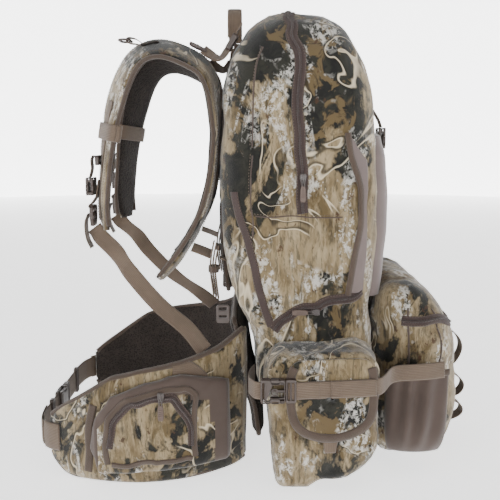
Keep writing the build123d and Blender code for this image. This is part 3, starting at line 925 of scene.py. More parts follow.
# %% swelling a bag with cloth simulation
def swollen(piece, voxel, pressure, cap, shrink=0.985):
    """Remeshes a closed bag, blows it up a little as cloth, and limits how far a point may move."""
    centre = sum((v.co for v in piece.data.vertices), Vector()) / len(piece.data.vertices)
    for v in piece.data.vertices:
        v.co = centre + (v.co - centre) * shrink
    bpy.context.view_layer.objects.active = piece
    remesh = piece.modifiers.new("remesh", "REMESH")
    remesh.mode = "VOXEL"
    remesh.voxel_size = voxel
    bpy.context.view_layer.update()
    even = evaluated_mesh(piece)
    piece.modifiers.clear()
    piece.data = even
    start = np.array([v.co for v in even.vertices])
    cloth = piece.modifiers.new("cloth", "CLOTH")
    cloth.settings.quality = 4
    cloth.settings.mass = 0.3
    cloth.settings.use_pressure = True
    cloth.settings.uniform_pressure_force = pressure
    cloth.settings.tension_stiffness = 12
    cloth.settings.compression_stiffness = 8
    cloth.settings.bending_stiffness = 0.4
    cloth.settings.effector_weights.gravity = 0
    cloth.collision_settings.use_collision = False
    cloth.point_cache.frame_start, cloth.point_cache.frame_end = 1, 20
    for step in range(1, 21):
        bpy.context.scene.frame_set(step)
    moved = evaluated_mesh(piece)
    end = np.array([v.co for v in moved.vertices])
    piece.modifiers.clear()
    shift = end - start
    far = np.linalg.norm(shift, axis=1, keepdims=True)
    end = start + shift * np.minimum(1.0, cap / np.maximum(far, 1e-9))
    even.vertices.foreach_set("co", end.astype(np.float32).ravel())
    even.shade_smooth()
    bpy.context.scene.frame_set(1)
    print(piece.name, "would swell by", round(float(far.max()) * 1000, 1), "mm, held to", cap * 1000)
    return piece


# %% pouch shell
POUCH = [(14, -130, -100, 128, 12), (30, -190, -97, 146, 32), (60, -210, -96, 156, 40),
         (150, -214, -96, 158, 46), (212, -206, -96, 156, 44), (250, -188, -98, 150, 40),
         (280, -160, -102, 134, 26), (292, -142, -110, 112, 14)]
POUCH_PUFFS = [(0.10, 0.006, False), (0.05, 0.0032, True), (0.024, 0.0014, True)]
pouch = lofted_bag("front_pouch_cloth", POUCH, camo_pouch, POUCH_PUFFS, 11.7, rings=70, around=170,
                   dome=0.004)
swollen(pouch, 0.005, 2.5, 0.006)
pouch_skin = skin_of(pouch)
POUCH_ZIP = [(-0.175, -0.110, 0.236), (-0.175, -0.150, 0.238), (-0.165, -0.205, 0.240),
             (-0.12, -0.24, 0.240), (0.0, -0.24, 0.240), (0.12, -0.24, 0.240), (0.165, -0.205, 0.240),
             (0.175, -0.150, 0.238), (0.175, -0.110, 0.236)]
pouch_zip = zipper("pouch_zipper_tape", pouch_skin, POUCH_ZIP, 0.015, 240)
rides(pouch_zip, "pack", "pouch_zipper", slot="zip_tape")
pouch_guides = []
for sign in SIDES.values():
    pouch_guides.append([(sign * 0.18, -0.125, 0.02), (sign * 0.18, -0.122, 0.10),
                         (sign * 0.18, -0.128, 0.2), (sign * 0.17, -0.135, 0.27)])
    pouch_guides.append([(sign * 0.16, -0.20, 0.03), (sign * 0.17, -0.205, 0.10),
                         (sign * 0.165, -0.20, 0.19), (sign * 0.15, -0.175, 0.265)])
pouch_seams = seam("pouch_seams", pouch_skin, pouch_guides)
rides(pouch_seams, "pack", slot="camo")
pouch_welts = joined("pouch_welts", [cord_tube("welt", draped_line(pouch_skin, g, 60, 0.0004), 0.0016,
                                               brown_cloth, around=6) for g in pouch_guides])
rides(pouch_welts, "pack", slot="webbing")
rides(pouch, "pack", "front_pouch", slot="camo", padded=0.6)

# %% [markdown]
# ## The drop-down panel
# A shallow pocket lies on the upper bag's front. Its sides are smooth stretch
# cloth, and a bound edge runs where the stretch meets the bag's side.

# %% drop-down panel
PANEL = [(266, -99, -45, 128, 26), (300, -103, -52, 130, 26), (352, -106, -56, 130, 26),
         (420, -106, -56, 128, 26), (470, -103, -54, 126, 26), (506, -96, -50, 120, 24)]
panel = lofted_bag("drop_panel_cloth", PANEL, stretch_cloth,
                   [(0.12, 0.003, False), (0.045, 0.0010, True)], 5.2, rings=60, around=150, dome=0.010)
rides(panel, "pack", "front_drop_panel", slot="stretch", padded=0.4)
PANEL_EDGE = [(-42, 520), (-46, 495), (-50, 470), (-70, 440), (-74, 420), (-74, 390), (-70, 360),
              (-58, 320), (-50, 290), (-46, 268)]
STRETCH_ROWS, STRETCH_COLUMNS = 12, 60
wings_of_panel = []
for side, sign in SIDES.items():
    # the stretch side lies on the bag between the binding and the bag's front
    lines = []
    for t in np.linspace(0, 1, STRETCH_ROWS):
        guide = [(sign * 0.19, (y + (-92 - y) * t) * MM, (z - 34 * t * max(0.0, (z - 440) / 80)) * MM)
                 for y, z in PANEL_EDGE]
        lines.append(draped_line(bag_skin, guide, STRETCH_COLUMNS))
    verts = [p for line in lines for p in line]
    out = normals_at(bag_skin, verts)
    verts = [v + n * 0.0022 for v, n in zip(verts, out)]
    sheet = mesh_piece(f"stretch_side_{side}", verts, grid_faces(STRETCH_ROWS, STRETCH_COLUMNS),
                       stretch_cloth)
    thicken = sheet.modifiers.new("thickness", "SOLIDIFY")
    thicken.thickness = 0.002
    thicken.offset = 0.0
    bpy.context.view_layer.update()
    sheet.data = evaluated_mesh(sheet)
    sheet.modifiers.clear()
    wings_of_panel.append(outwards(sheet))
    edge_line = draped_line(bag_skin, [(sign * 0.19, y * MM, z * MM) for y, z in PANEL_EDGE], 90, 0.0022)
    wings_of_panel.append(strip(f"panel_binding_{side}", edge_line, normals_at(bag_skin, edge_line),
                                0.009, 0.0022, binding, crown=0.0012, across=7))
panel_sides = joined("panel_sides", wings_of_panel)
rides(panel_sides, "pack", slot="stretch")

# %% [markdown]
# ## Side pockets and their flaps
# Each side pocket is a boxy pouch with bellows sides. It is made from its side
# outline: a rounded slab whose rim turns in, puffed and creased like the bag.

# %% puffy slabs
def rounded_outline(points, radius, count):
    """A closed outline (y, z) in millimetres with rounded corners, as evenly spread points in metres."""
    p = np.array(points, float)
    n = len(p)
    fine = []
    for i in range(n):
        a, b, c = p[i - 1], p[i], p[(i + 1) % n]
        reach = min(radius, 0.45 * np.linalg.norm(b - a), 0.45 * np.linalg.norm(c - b))
        start, end = b + unit(a - b) * reach, b + unit(c - b) * reach
        for t in np.linspace(0, 1, 8):
            fine.append((1 - t) ** 2 * start + 2 * t * (1 - t) * b + t ** 2 * end)
    fine.append(fine[0])
    f = np.array(fine)
    run = run_along(f)
    at = np.linspace(0, run[-1], count, endpoint=False)
    return np.stack([np.interp(at, run, f[:, 0]), np.interp(at, run, f[:, 1])], 1) * MM


def puffy_slab(name, outline, corner, x_in, x_out, rim, material, puffs, seed, around=140, bulge=0.004):
    """A pouch on the pack's side: an outline extruded along x, with a soft rim and a crowned face."""
    ring = rounded_outline(outline, corner, around)
    mid = ring.mean(0)
    sign = 1 if x_out > x_in else -1
    verts = []
    for t in np.linspace(0, 1, 14):
        x = x_in + (x_out - sign * rim - x_in) * t
        verts.append(np.column_stack([np.full(around, x), ring]))
    for a in np.linspace(10, 90, 8):
        inset = rim * (1 - math.cos(math.radians(a)))
        lift = rim * math.sin(math.radians(a))
        pulled = ring + unit(mid - ring) * inset
        verts.append(np.column_stack([np.full(around, x_out - sign * rim + sign * lift), pulled]))
    last = verts[-1][:, 1:]
    for k in range(1, 16):
        share = 1 - k / 16
        flat = mid + (last - mid) * share
        verts.append(np.column_stack([np.full(around, x_out + sign * bulge * (1 - share ** 2)), flat]))
    flat = np.vstack(verts)
    piece = outwards(mesh_piece(name, flat, tube_faces(len(verts), around), material))
    normals = np.array([v.normal for v in piece.data.vertices])
    moved = puffed(flat, normals, puffs, seed)
    moved[:, 2] = np.maximum(moved[:, 2], 0.003)
    piece.data.vertices.foreach_set("co", moved.astype(np.float32).ravel())
    piece.data.update()
    return piece


POCKET = [(60, 203), (-60, 209), (-80, 190), (-81, 66), (-66, 36), (-34, 24), (30, 6), (62, 6), (66, 80),
          (74, 130), (76, 180)]
POCKET_OUT = 0.238
POCKET_PUFFS = [(0.09, 0.0045, False), (0.045, 0.0030, True), (0.022, 0.0014, True)]
FLAP = [(48, 200), (-74, 204), (-74, 118), (-58, 96), (-30, 86), (4, 86), (34, 96), (48, 118)]
pocket_skins = {}
for side, sign in SIDES.items():
    pocket = puffy_slab(f"side_pocket_cloth_{side}", POCKET, 22, sign * 0.150,
                        sign * (POCKET_OUT - 0.003), 0.016, camo_pouch, POCKET_PUFFS, 21.3 + sign,
                        bulge=0.003)
    pocket_skins[side] = skin_of(pocket)
    rides(pocket, "pack", f"side_pocket_{side}", slot="camo", padded=0.6)
print("side pockets made")


# %% flaps
def flap_sheet(name, outline, sign, x, side):
    """The U-shaped flap: a thin padded sheet that lies on the pocket's face."""
    around = 120
    ring = rounded_outline(outline, 26, around)
    mid = ring.mean(0)
    verts = []
    face = pocket_skins[side]
    for share, lift in ((1.0, 0.0), (1.0, 0.0026), (0.97, 0.0036), (0.92, 0.0040), (0.8, 0.0044),
                        (0.6, 0.005), (0.4, 0.0054), (0.2, 0.0056), (0.03, 0.0056)):
        flat = mid + (ring - mid) * share
        for y, z in flat:
            hit = face.ray_cast(Vector((sign * 0.30, y, z)), Vector((-sign, 0, 0)))[0]
            base = abs(hit.x) if hit is not None else x
            verts.append((sign * (max(base, x) + lift), y, z))
    verts += [(sign * (x + 0.0004), *(mid + (point - mid) * 0.5)) for point in ring]
    return outwards(mesh_piece(name, verts, tube_faces(len(verts) // around, around), camo_pouch)), ring


for side, sign in SIDES.items():
    sheet, ring = flap_sheet(f"flap_{side}", FLAP, sign, POCKET_OUT + 0.0010, side)
    face = skin_of(sheet)
    rim_line = [(sign * 0.262, y, z) for y, z in ring if z < 0.1985]
    rim_line = sorted(rim_line, key=lambda p: math.atan2(p[2] - 0.21, p[1] + 0.013))
    rim = draped_line(face, rim_line[::4] + [rim_line[-1]], 110, 0.0004)
    bind = strip(f"flap_binding_{side}", rim, np.tile((sign, 0.0, 0.0), (len(rim), 1)), 0.0125, 0.0018,
                 binding, crown=0.0008, across=7)
    tab_line = [(sign * 0.2440, -0.012, 0.094), (sign * 0.2448, -0.012, 0.082),
                (sign * 0.2440, -0.012, 0.068)]
    tab = strip(f"flap_tab_{side}", curve_through(tab_line, 12), (sign, 0, 0), 0.020, 0.0022, strap_web,
                across=7, widths=np.linspace(0.024, 0.015, 12))
    flap = joined(f"flap_cloth_{side}", [sheet, bind, tab])
    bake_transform(flap)
    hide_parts(f"side_flap_{side}")

# %% [markdown]
# ## Open pockets on the pouch
# A plain brown stretch pocket lies on each side of the pouch. It is open at the
# top. The cloth is slack, so it drapes in long upright folds.

# %% open pockets
for side, sign in SIDES.items():
    low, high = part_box(f"bottle_pocket_{side}")
    columns, rows = 60, 40
    verts = []
    for layer in (0, 1):
        for i in range(rows):
            t = i / (rows - 1)
            z = low.z + 0.004 + (high.z - low.z - 0.006) * t
            for j in range(columns):
                s = j / (columns - 1)
                y = low.y + 0.003 + (high.y - low.y - 0.006) * (0.5 + (s - 0.5) * (1 - 0.16 * (1 - t) ** 6))
                swell = math.sin(math.pi * s) ** 0.55
                fold = 0.0042 * math.sin(6.5 * math.pi * s ** 1.3 + 3.4 * t) * (1 - 0.45 * t)
                fold += 0.003 * noise.noise(Vector((y * 30, z * 12, sign * 2.0)))
                fold *= min(1.0, 3 * t)
                belly = 0.55 + 0.45 * math.sin(math.pi * min(1, t * 1.1 + 0.15))
                x = 0.161 - 0.012 * (1 - t) ** 8 + 0.019 * swell * belly + fold * swell
                verts.append((sign * (x - 0.0022 * layer), y, z))
    size = rows * columns
    faces = grid_faces(rows, columns) + grid_faces(rows, columns, size)
    border = border_of(rows, columns)
    for a, b in zip(border, border[1:] + border[:1]):
        faces.append((a, b, b + size, a + size))
    cloth = outwards(mesh_piece(f"open_pocket_sheet_{side}", verts, faces, brown_cloth))
    rim = [Vector(verts[(rows - 1) * columns + j]) for j in range(columns)]
    edge = strip(f"open_pocket_edge_{side}", [tuple(p) for p in rim], (sign, 0, 0), 0.010, 0.0020, binding,
                 crown=0.0006, across=6)
    cloth = joined(f"open_pocket_cloth_{side}", [cloth, edge])
    rides(cloth, "pack", f"bottle_pocket_{side}", slot="pocket_cloth")

# %% [markdown]
# ## Buckles and other mouldings
# A moulded part is a flat outline with holes, given thickness and soft edges. A 2D
# curve does that by itself: it fills between its splines, and its bevel rounds both
# rims. Each moulding is made flat, then carried to its place by a matrix.

# %% mouldings
def seat(at, along, up):
    """A matrix that carries a flat moulding: its x goes along, its z goes up."""
    x = Vector(along).normalized()
    z = Vector(up)
    z = (z - x * z.dot(x)).normalized()
    y = z.cross(x)
    m = Matrix((x, y, z)).transposed().to_4x4()
    m.translation = Vector(at)
    return m


def rounded_box(cx, cy, long, wide, radius, steps=5):
    radius = min(radius, long / 2 - 1e-5, wide / 2 - 1e-5)
    ring = []
    for sx, sy, start in ((1, 1, 0), (-1, 1, 90), (-1, -1, 180), (1, -1, 270)):
        for k in range(steps + 1):
            a = math.radians(start + 90 * k / steps)
            ring.append((cx + sx * (long / 2 - radius) + radius * math.cos(a),
                         cy + sy * (wide / 2 - radius) + radius * math.sin(a)))
    return ring


def moulding(name, outlines, thick, place, material, soft=0.0008, lift=0.0):
    """Outlines are closed rings in metres; a ring inside another is a hole."""
    curve = bpy.data.curves.new(name, "CURVE")
    curve.dimensions = "2D"
    curve.fill_mode = "BOTH"
    curve.extrude = max(thick / 2 - soft, 1e-5)
    curve.bevel_depth = soft
    curve.bevel_resolution = 2
    curve.offset = -soft
    for ring in outlines:
        spline = curve.splines.new("POLY")
        spline.points.add(len(ring) - 1)
        for point, (x, y) in zip(spline.points, ring):
            point.co = (x, y, 0, 1)
        spline.use_cyclic_u = True
    flat = in_scene(name, curve)
    bpy.context.view_layer.update()
    mesh = evaluated_mesh(flat)
    bpy.data.objects.remove(flat)
    work = bmesh.new()
    work.from_mesh(mesh)
    bmesh.ops.remove_doubles(work, verts=work.verts, dist=1e-6)
    bmesh.ops.recalc_face_normals(work, faces=work.faces)
    work.to_mesh(mesh)
    work.free()
    mesh.transform(place @ Matrix.Translation((0, 0, lift)))
    mesh.materials.clear()
    mesh.materials.append(material)
    mesh.shade_flat()
    piece = in_scene(name, mesh)
    return piece


# %% [markdown]
# A side-release buckle is two mouldings. The housing has a waist, two side windows
# and a bar for webbing. The latch has a frame with two bars and three prongs.

# %% side-release buckles
def buckle_housing(name, web, place):
    long, wide, deep = 1.35 * web, web + 0.009, 0.012
    waist = 0.0026
    outline = [(0, wide / 2 - 0.002), (-0.003, wide / 2), (-0.16 * long, wide / 2),
               (-0.30 * long, wide / 2 - waist), (-0.50 * long, wide / 2 - waist),
               (-0.64 * long, wide / 2), (-0.95 * long, wide / 2), (-long, wide / 2 - 0.003)]
    outline = outline + [(x, -y) for x, y in outline[::-1]]
    window = rounded_box(-0.40 * long, wide / 2 - 0.0036, 0.34 * long, 0.0044, 0.002)
    other = [(x, -y) for x, y in window[::-1]]
    slot = rounded_box(-0.86 * long, 0, 0.13 * long, web, 0.0015)
    shell = [moulding(name + label, [outline, window, other, slot], 0.0042, place, buckle_plastic,
                      0.0012, lift) for label, lift in (("_top", 0.0038), ("_base", -0.0038))]
    wall = rounded_box(-0.80 * long, 0, 0.0030, wide - 0.001, 0.001)
    shell.append(moulding(name + "_wall", [wall], 0.010, place, buckle_plastic, 0.0006))
    for way in (-1, 1):
        cheek = rounded_box(-0.10 * long, way * (wide / 2 - 0.0022), 0.19 * long, 0.0040, 0.0015)
        shell.append(moulding(name + "_cheek", [cheek], 0.0095, place, buckle_plastic, 0.0006))
    ridge = rounded_box(-0.42 * long, 0, 0.22 * long, 0.42 * web, 0.002)
    inner = rounded_box(-0.42 * long, 0, 0.22 * long - 0.003, 0.42 * web - 0.003, 0.0012)
    shell.append(moulding(name + "_ridge", [ridge, inner], 0.0016, place, buckle_plastic, 0.0004, 0.0060))
    return joined(name, shell)


def buckle_latch(name, web, place):
    wide = web + 0.009
    gap = 0.0006
    frame_long = 0.6 * web
    reach = 0.62 * 1.35 * web
    outline = rounded_box(gap + frame_long / 2, 0, frame_long, wide, 0.003)
    slots = [rounded_box(gap + 0.30 * frame_long, 0, 0.20 * frame_long, web, 0.001),
             rounded_box(gap + 0.70 * frame_long, 0, 0.22 * frame_long, web, 0.001)]
    parts = [moulding(name + "_frame", [outline, *slots], 0.0085, place, buckle_plastic, 0.0014)]
    guide = rounded_box(gap - reach / 2 + 0.001, 0, reach, 0.0035, 0.001)
    parts.append(moulding(name + "_guide", [guide], 0.0044, place, buckle_plastic, 0.0006))
    for way in (-1, 1):
        y = way * (wide / 2 - 0.0068)
        prong = [(gap + 0.002, y - way * 0.002), (gap - 0.5 * reach, y - way * 0.0005),
                 (gap - reach, y - way * 0.0012), (gap - reach, y + way * 0.0010),
                 (gap - 0.84 * reach, y + way * 0.0019), (gap - 0.5 * reach, y + way * 0.0018),
                 (gap + 0.002, y + way * 0.0016)]
        parts.append(moulding(name + "_prong", [prong], 0.0044, place, buckle_plastic, 0.0006))
    return joined(name, parts)


def ladder_lock(name, web, place, deep=0.006):
    """A frame with slots for webbing; it lies in its own x, y, with the top bar at y = 0."""
    wide, high = web + 0.009, web + 0.007
    outline = [(-wide / 2 + 0.004, 0), (wide / 2 - 0.004, 0), (wide / 2, -0.004),
               (wide / 2 - 0.001, -0.62 * high), (wide / 2 - 0.007, -high), (-wide / 2 + 0.007, -high),
               (-wide / 2 + 0.001, -0.62 * high), (-wide / 2, -0.004)]
    slots = [rounded_box(0, -0.26 * high, web, 0.18 * high, 0.001),
             rounded_box(0, -0.62 * high, web, 0.20 * high, 0.001)]
    body = moulding(name + "_frame", [outline, *slots], deep, place, buckle_plastic, 0.0013)
    grip = moulding(name + "_grip", [rounded_box(0, -0.45 * high, web, 0.11 * high, 0.0008)], deep * 0.7,
                    place, buckle_plastic, 0.0008, 0.0016)
    return joined(name, [body, grip])


# compression straps: webbing over each side pocket, with its buckle
STRAP_Z, BUCKLE_Y, BUCKLE_X, WEB_X = 0.160, 0.052, 0.2495, 0.244
WEB, WEB_THICK = 0.025, 0.0018   # most of the webbing
for side, sign in SIDES.items():
    place = seat((sign * BUCKLE_X, BUCKLE_Y, STRAP_Z), (0, -1, 0), (sign, 0, 0))
    piece = buckle_housing(f"compression_housing_{side}", WEB, place)
    rides(piece, "pack", "compression_housings", slot="buckle_plastic")
    piece = buckle_latch(f"compression_latch_plastic_{side}", WEB, place)
    rides(piece, f"compression_latch_{side}", f"compression_latch_{side}", slot="buckle_plastic")
    moving = [(sign * (WEB_X + 0.0060), 0.0475, STRAP_Z), (sign * (WEB_X + 0.0062), 0.036, STRAP_Z),
              (sign * (WEB_X + 0.0030), 0.018, STRAP_Z), (sign * (WEB_X + 0.0018), 0.004, STRAP_Z)]
    web = strip(f"compression_tail_{side}", curve_through(moving, 30), (sign, 0, 0), WEB, 0.0016,
                strap_web, across=10)
    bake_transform(web)
    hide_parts("compression_webbing")
    fixed = [(WEB_X + 0.0018, 0.008), (WEB_X + 0.0012, -0.02), (WEB_X + 0.0012, -0.060),
             (WEB_X - 0.002, -0.079), (0.226, -0.090), (0.200, -0.103), (0.1915, -0.116),
             (0.1905, -0.135), (0.1895, -0.160), (0.184, -0.184)]
    line = curve_through([(sign * x, y, STRAP_Z + 0.004 * (0.0 - y) / 0.08) for x, y in fixed], 90)
    tangent = heading(line)
    outward = unit(np.cross(tangent, (0, 0, 1.0))) * sign
    outward = outward * np.where((outward[:, :1] * sign) > -0.2, 1, -1)
    run_on = strip(f"compression_run_{side}", line, outward, WEB, 0.0016, strap_web, across=10)
    double = strip(f"compression_double_{side}", line[8:34] + outward[8:34] * 0.0017, outward[8:34], WEB,
                   0.0014, strap_web, across=10)
    rear = [(BUCKLE_X, 0.0795), (BUCKLE_X, 0.086), (BUCKLE_X - 0.006, 0.095), (0.222, 0.102),
            (0.196, 0.101), (0.168, 0.094)]
    back_line = curve_through([(sign * x, y, STRAP_Z) for x, y in rear], 40)
    back_out = unit(np.cross(heading(back_line), (0, 0, -1.0))) * sign
    back_web = strip(f"compression_back_{side}", back_line, back_out, WEB, 0.0016, strap_web, across=10)
    # a box of stitches with a cross holds the doubled webbing
    y0, y1, z0, z1, x = -0.026, -0.006, STRAP_Z - 0.008, STRAP_Z + 0.010, sign * (WEB_X + 0.0046)
    corners = [(x, y0, z0), (x, y1, z0), (x, y1, z1), (x, y0, z1)]
    rows = [([a, b], (sign, 0, 0)) for a, b in zip(corners, corners[1:] + corners[:1])]
    rows += [([corners[0], corners[2]], (sign, 0, 0)), ([corners[1], corners[3]], (sign, 0, 0))]
    box_stitch = items_along(f"box_stitch_{side}", rows, 0.0026, (0.0021, 0.0008, 0.0007), thread)
    web = joined(f"compression_strap_{side}", [run_on, double, back_web, box_stitch])
    rides(web, "pack", "compression_webbing", slot="webbing")
print("compression straps made")

# %% [markdown]
# ## Shoulder straps
# Each strap is a long foam pad: camouflage outside, mesh inside, and a bound edge.
# It twists a little as it goes over the shoulder, so its outer face turns outwards.
# One section is carried along the strap, and its two halves take different cloths.

# %% padded strips
def padded_strip(name, line, faces, width, thick, outer, inner, around=28, puff=0.0012, seed=1.0):
    tangent, side, face = frames_along(line, faces)
    widths = np.broadcast_to(width, len(line))
    verts = []
    for i, centre in enumerate(line):
        narrow = min(1.0, 0.55 + 9.0 * min(i, len(line) - 1 - i) / len(line))
        for k in range(around):
            a = 2 * math.pi * k / around
            u = abs(math.cos(a)) ** 0.42 * math.copysign(1, math.cos(a)) * widths[i] / 2 * narrow
            v = abs(math.sin(a)) ** 0.62 * math.copysign(1, math.sin(a)) * thick / 2 * (0.4 + 0.6 * narrow)
            spot = centre + side[i] * u + face[i] * v
            swell = noise.noise(Vector(spot) * 26 + Vector((seed, 0, 0))) * puff * 2 * abs(math.sin(a))
            verts.append(spot + face[i] * swell)
    piece = mesh_piece(name, verts, tube_faces(len(line), around), outer)
    piece.data.materials.append(inner)
    for polygon in piece.data.polygons:
        rows = [v % around for v in polygon.vertices]
        if len(rows) == 4 and all(r == 0 or r >= around // 2 for r in rows):
            polygon.material_index = 1
    return outwards(piece), side, face


STRAP_LINE = [(322, 364), (324, 400), (321, 440), (314, 500), (302, 556), (284, 602), (262, 627),
              (232, 634), (198, 624), (170, 606), (157, 578), (154, 544), (155, 486), (163, 426),
              (177, 382), (196, 346), (220, 312), (240, 288)]
STRAP_X, STRAP_W, STRAP_T, TWIST = 0.092, 0.064, 0.013, 30
strap_faces = {}
for side_name, sign in SIDES.items():
    line = curve_through([(sign * STRAP_X, y * MM, z * MM) for y, z in STRAP_LINE], 190)
    middle = np.array((sign * STRAP_X, 0.235, 0.47))
    tangent = heading(line)
    away = line - middle
    away[:, 0] = 0.0
    away -= tangent * (away * tangent).sum(1, keepdims=True)
    away = unit(away)
    amount = np.interp(np.arange(190), [0, 26, 52, 95, 125, 189], [18, 20, TWIST, TWIST * 0.8, 0, 8])
    lean = unit(away * np.cos(np.radians(amount))[:, None] + np.array((sign, 0, 0))
                * np.sin(np.radians(amount))[:, None])
    pad, across_dir, face = padded_strip(f"strap_pad_{side_name}", line, lean, STRAP_W, STRAP_T,
                                         camo_pouch, mesh_cloth, seed=sign)
    parts = [pad]
    for way in (-1, 1):
        edge = line[2:-2] + across_dir[2:-2] * way * (STRAP_W / 2 - 0.0006)
        parts.append(cord_tube("strap_piping", edge, 0.0038, binding, around=10, flat=0.95))
        row = line[4:-4] + across_dir[4:-4] * way * (STRAP_W / 2 - 0.0075)
        row = row + face[4:-4] * (STRAP_T / 2 + 0.0002)
        parts.append(items_along("strap_stitches", [(row, face[4:-4])], 0.0044, (0.0032, 0.0009, 0.0008),
                                 thread))
    # a flat webbing runs down the middle of the outer face, and carries the hardware
    spine = strip(f"strap_spine_{side_name}", line[4:52] + face[4:52] * (STRAP_T / 2 + 0.0004),
                  face[4:52], 0.020, 0.0014, strap_web, across=9)
    parts.append(spine)
    pad = joined(f"strap_cloth_{side_name}", parts)
    rides(pad, "pack", f"shoulder_strap_{side_name}", slot="camo", padded=0.8)
    strap_faces[side_name] = (line, across_dir, face)

# %% keeper bands
bands = []
for side_name, sign in SIDES.items():
    line, across_dir, face = strap_faces[side_name]
    low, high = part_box("keeper_bands")
    at = int(np.argmin(abs(line[:95, 2] - (low.z + high.z) / 2)))
    loop, out = [], []
    for k in range(49):
        a = 2 * math.pi * k / 48
        u = abs(math.cos(a)) ** 0.45 * math.copysign(1, math.cos(a)) * (STRAP_W / 2 + 0.0044)
        v = abs(math.sin(a)) ** 0.62 * math.copysign(1, math.sin(a)) * (STRAP_T / 2 + 0.0036)
        loop.append(line[at] + across_dir[at] * u + face[at] * v)
        out.append(across_dir[at] * math.cos(a) + face[at] * math.sin(a))
    bands.append(strip(f"band_{side_name}", np.array(loop), np.array(out), 0.025, 0.0016, strap_web,
                       across=9))
keepers = joined("keeper_elastic", bands)
rides(keepers, "pack", "keeper_bands", slot="webbing")
print("shoulder straps made")

# %% [markdown]
# ## Strap hardware
# A ring of bent wire, a webbing tab that holds it, a ladder lock with its webbing,
# and half a chest buckle sit on each shoulder strap.

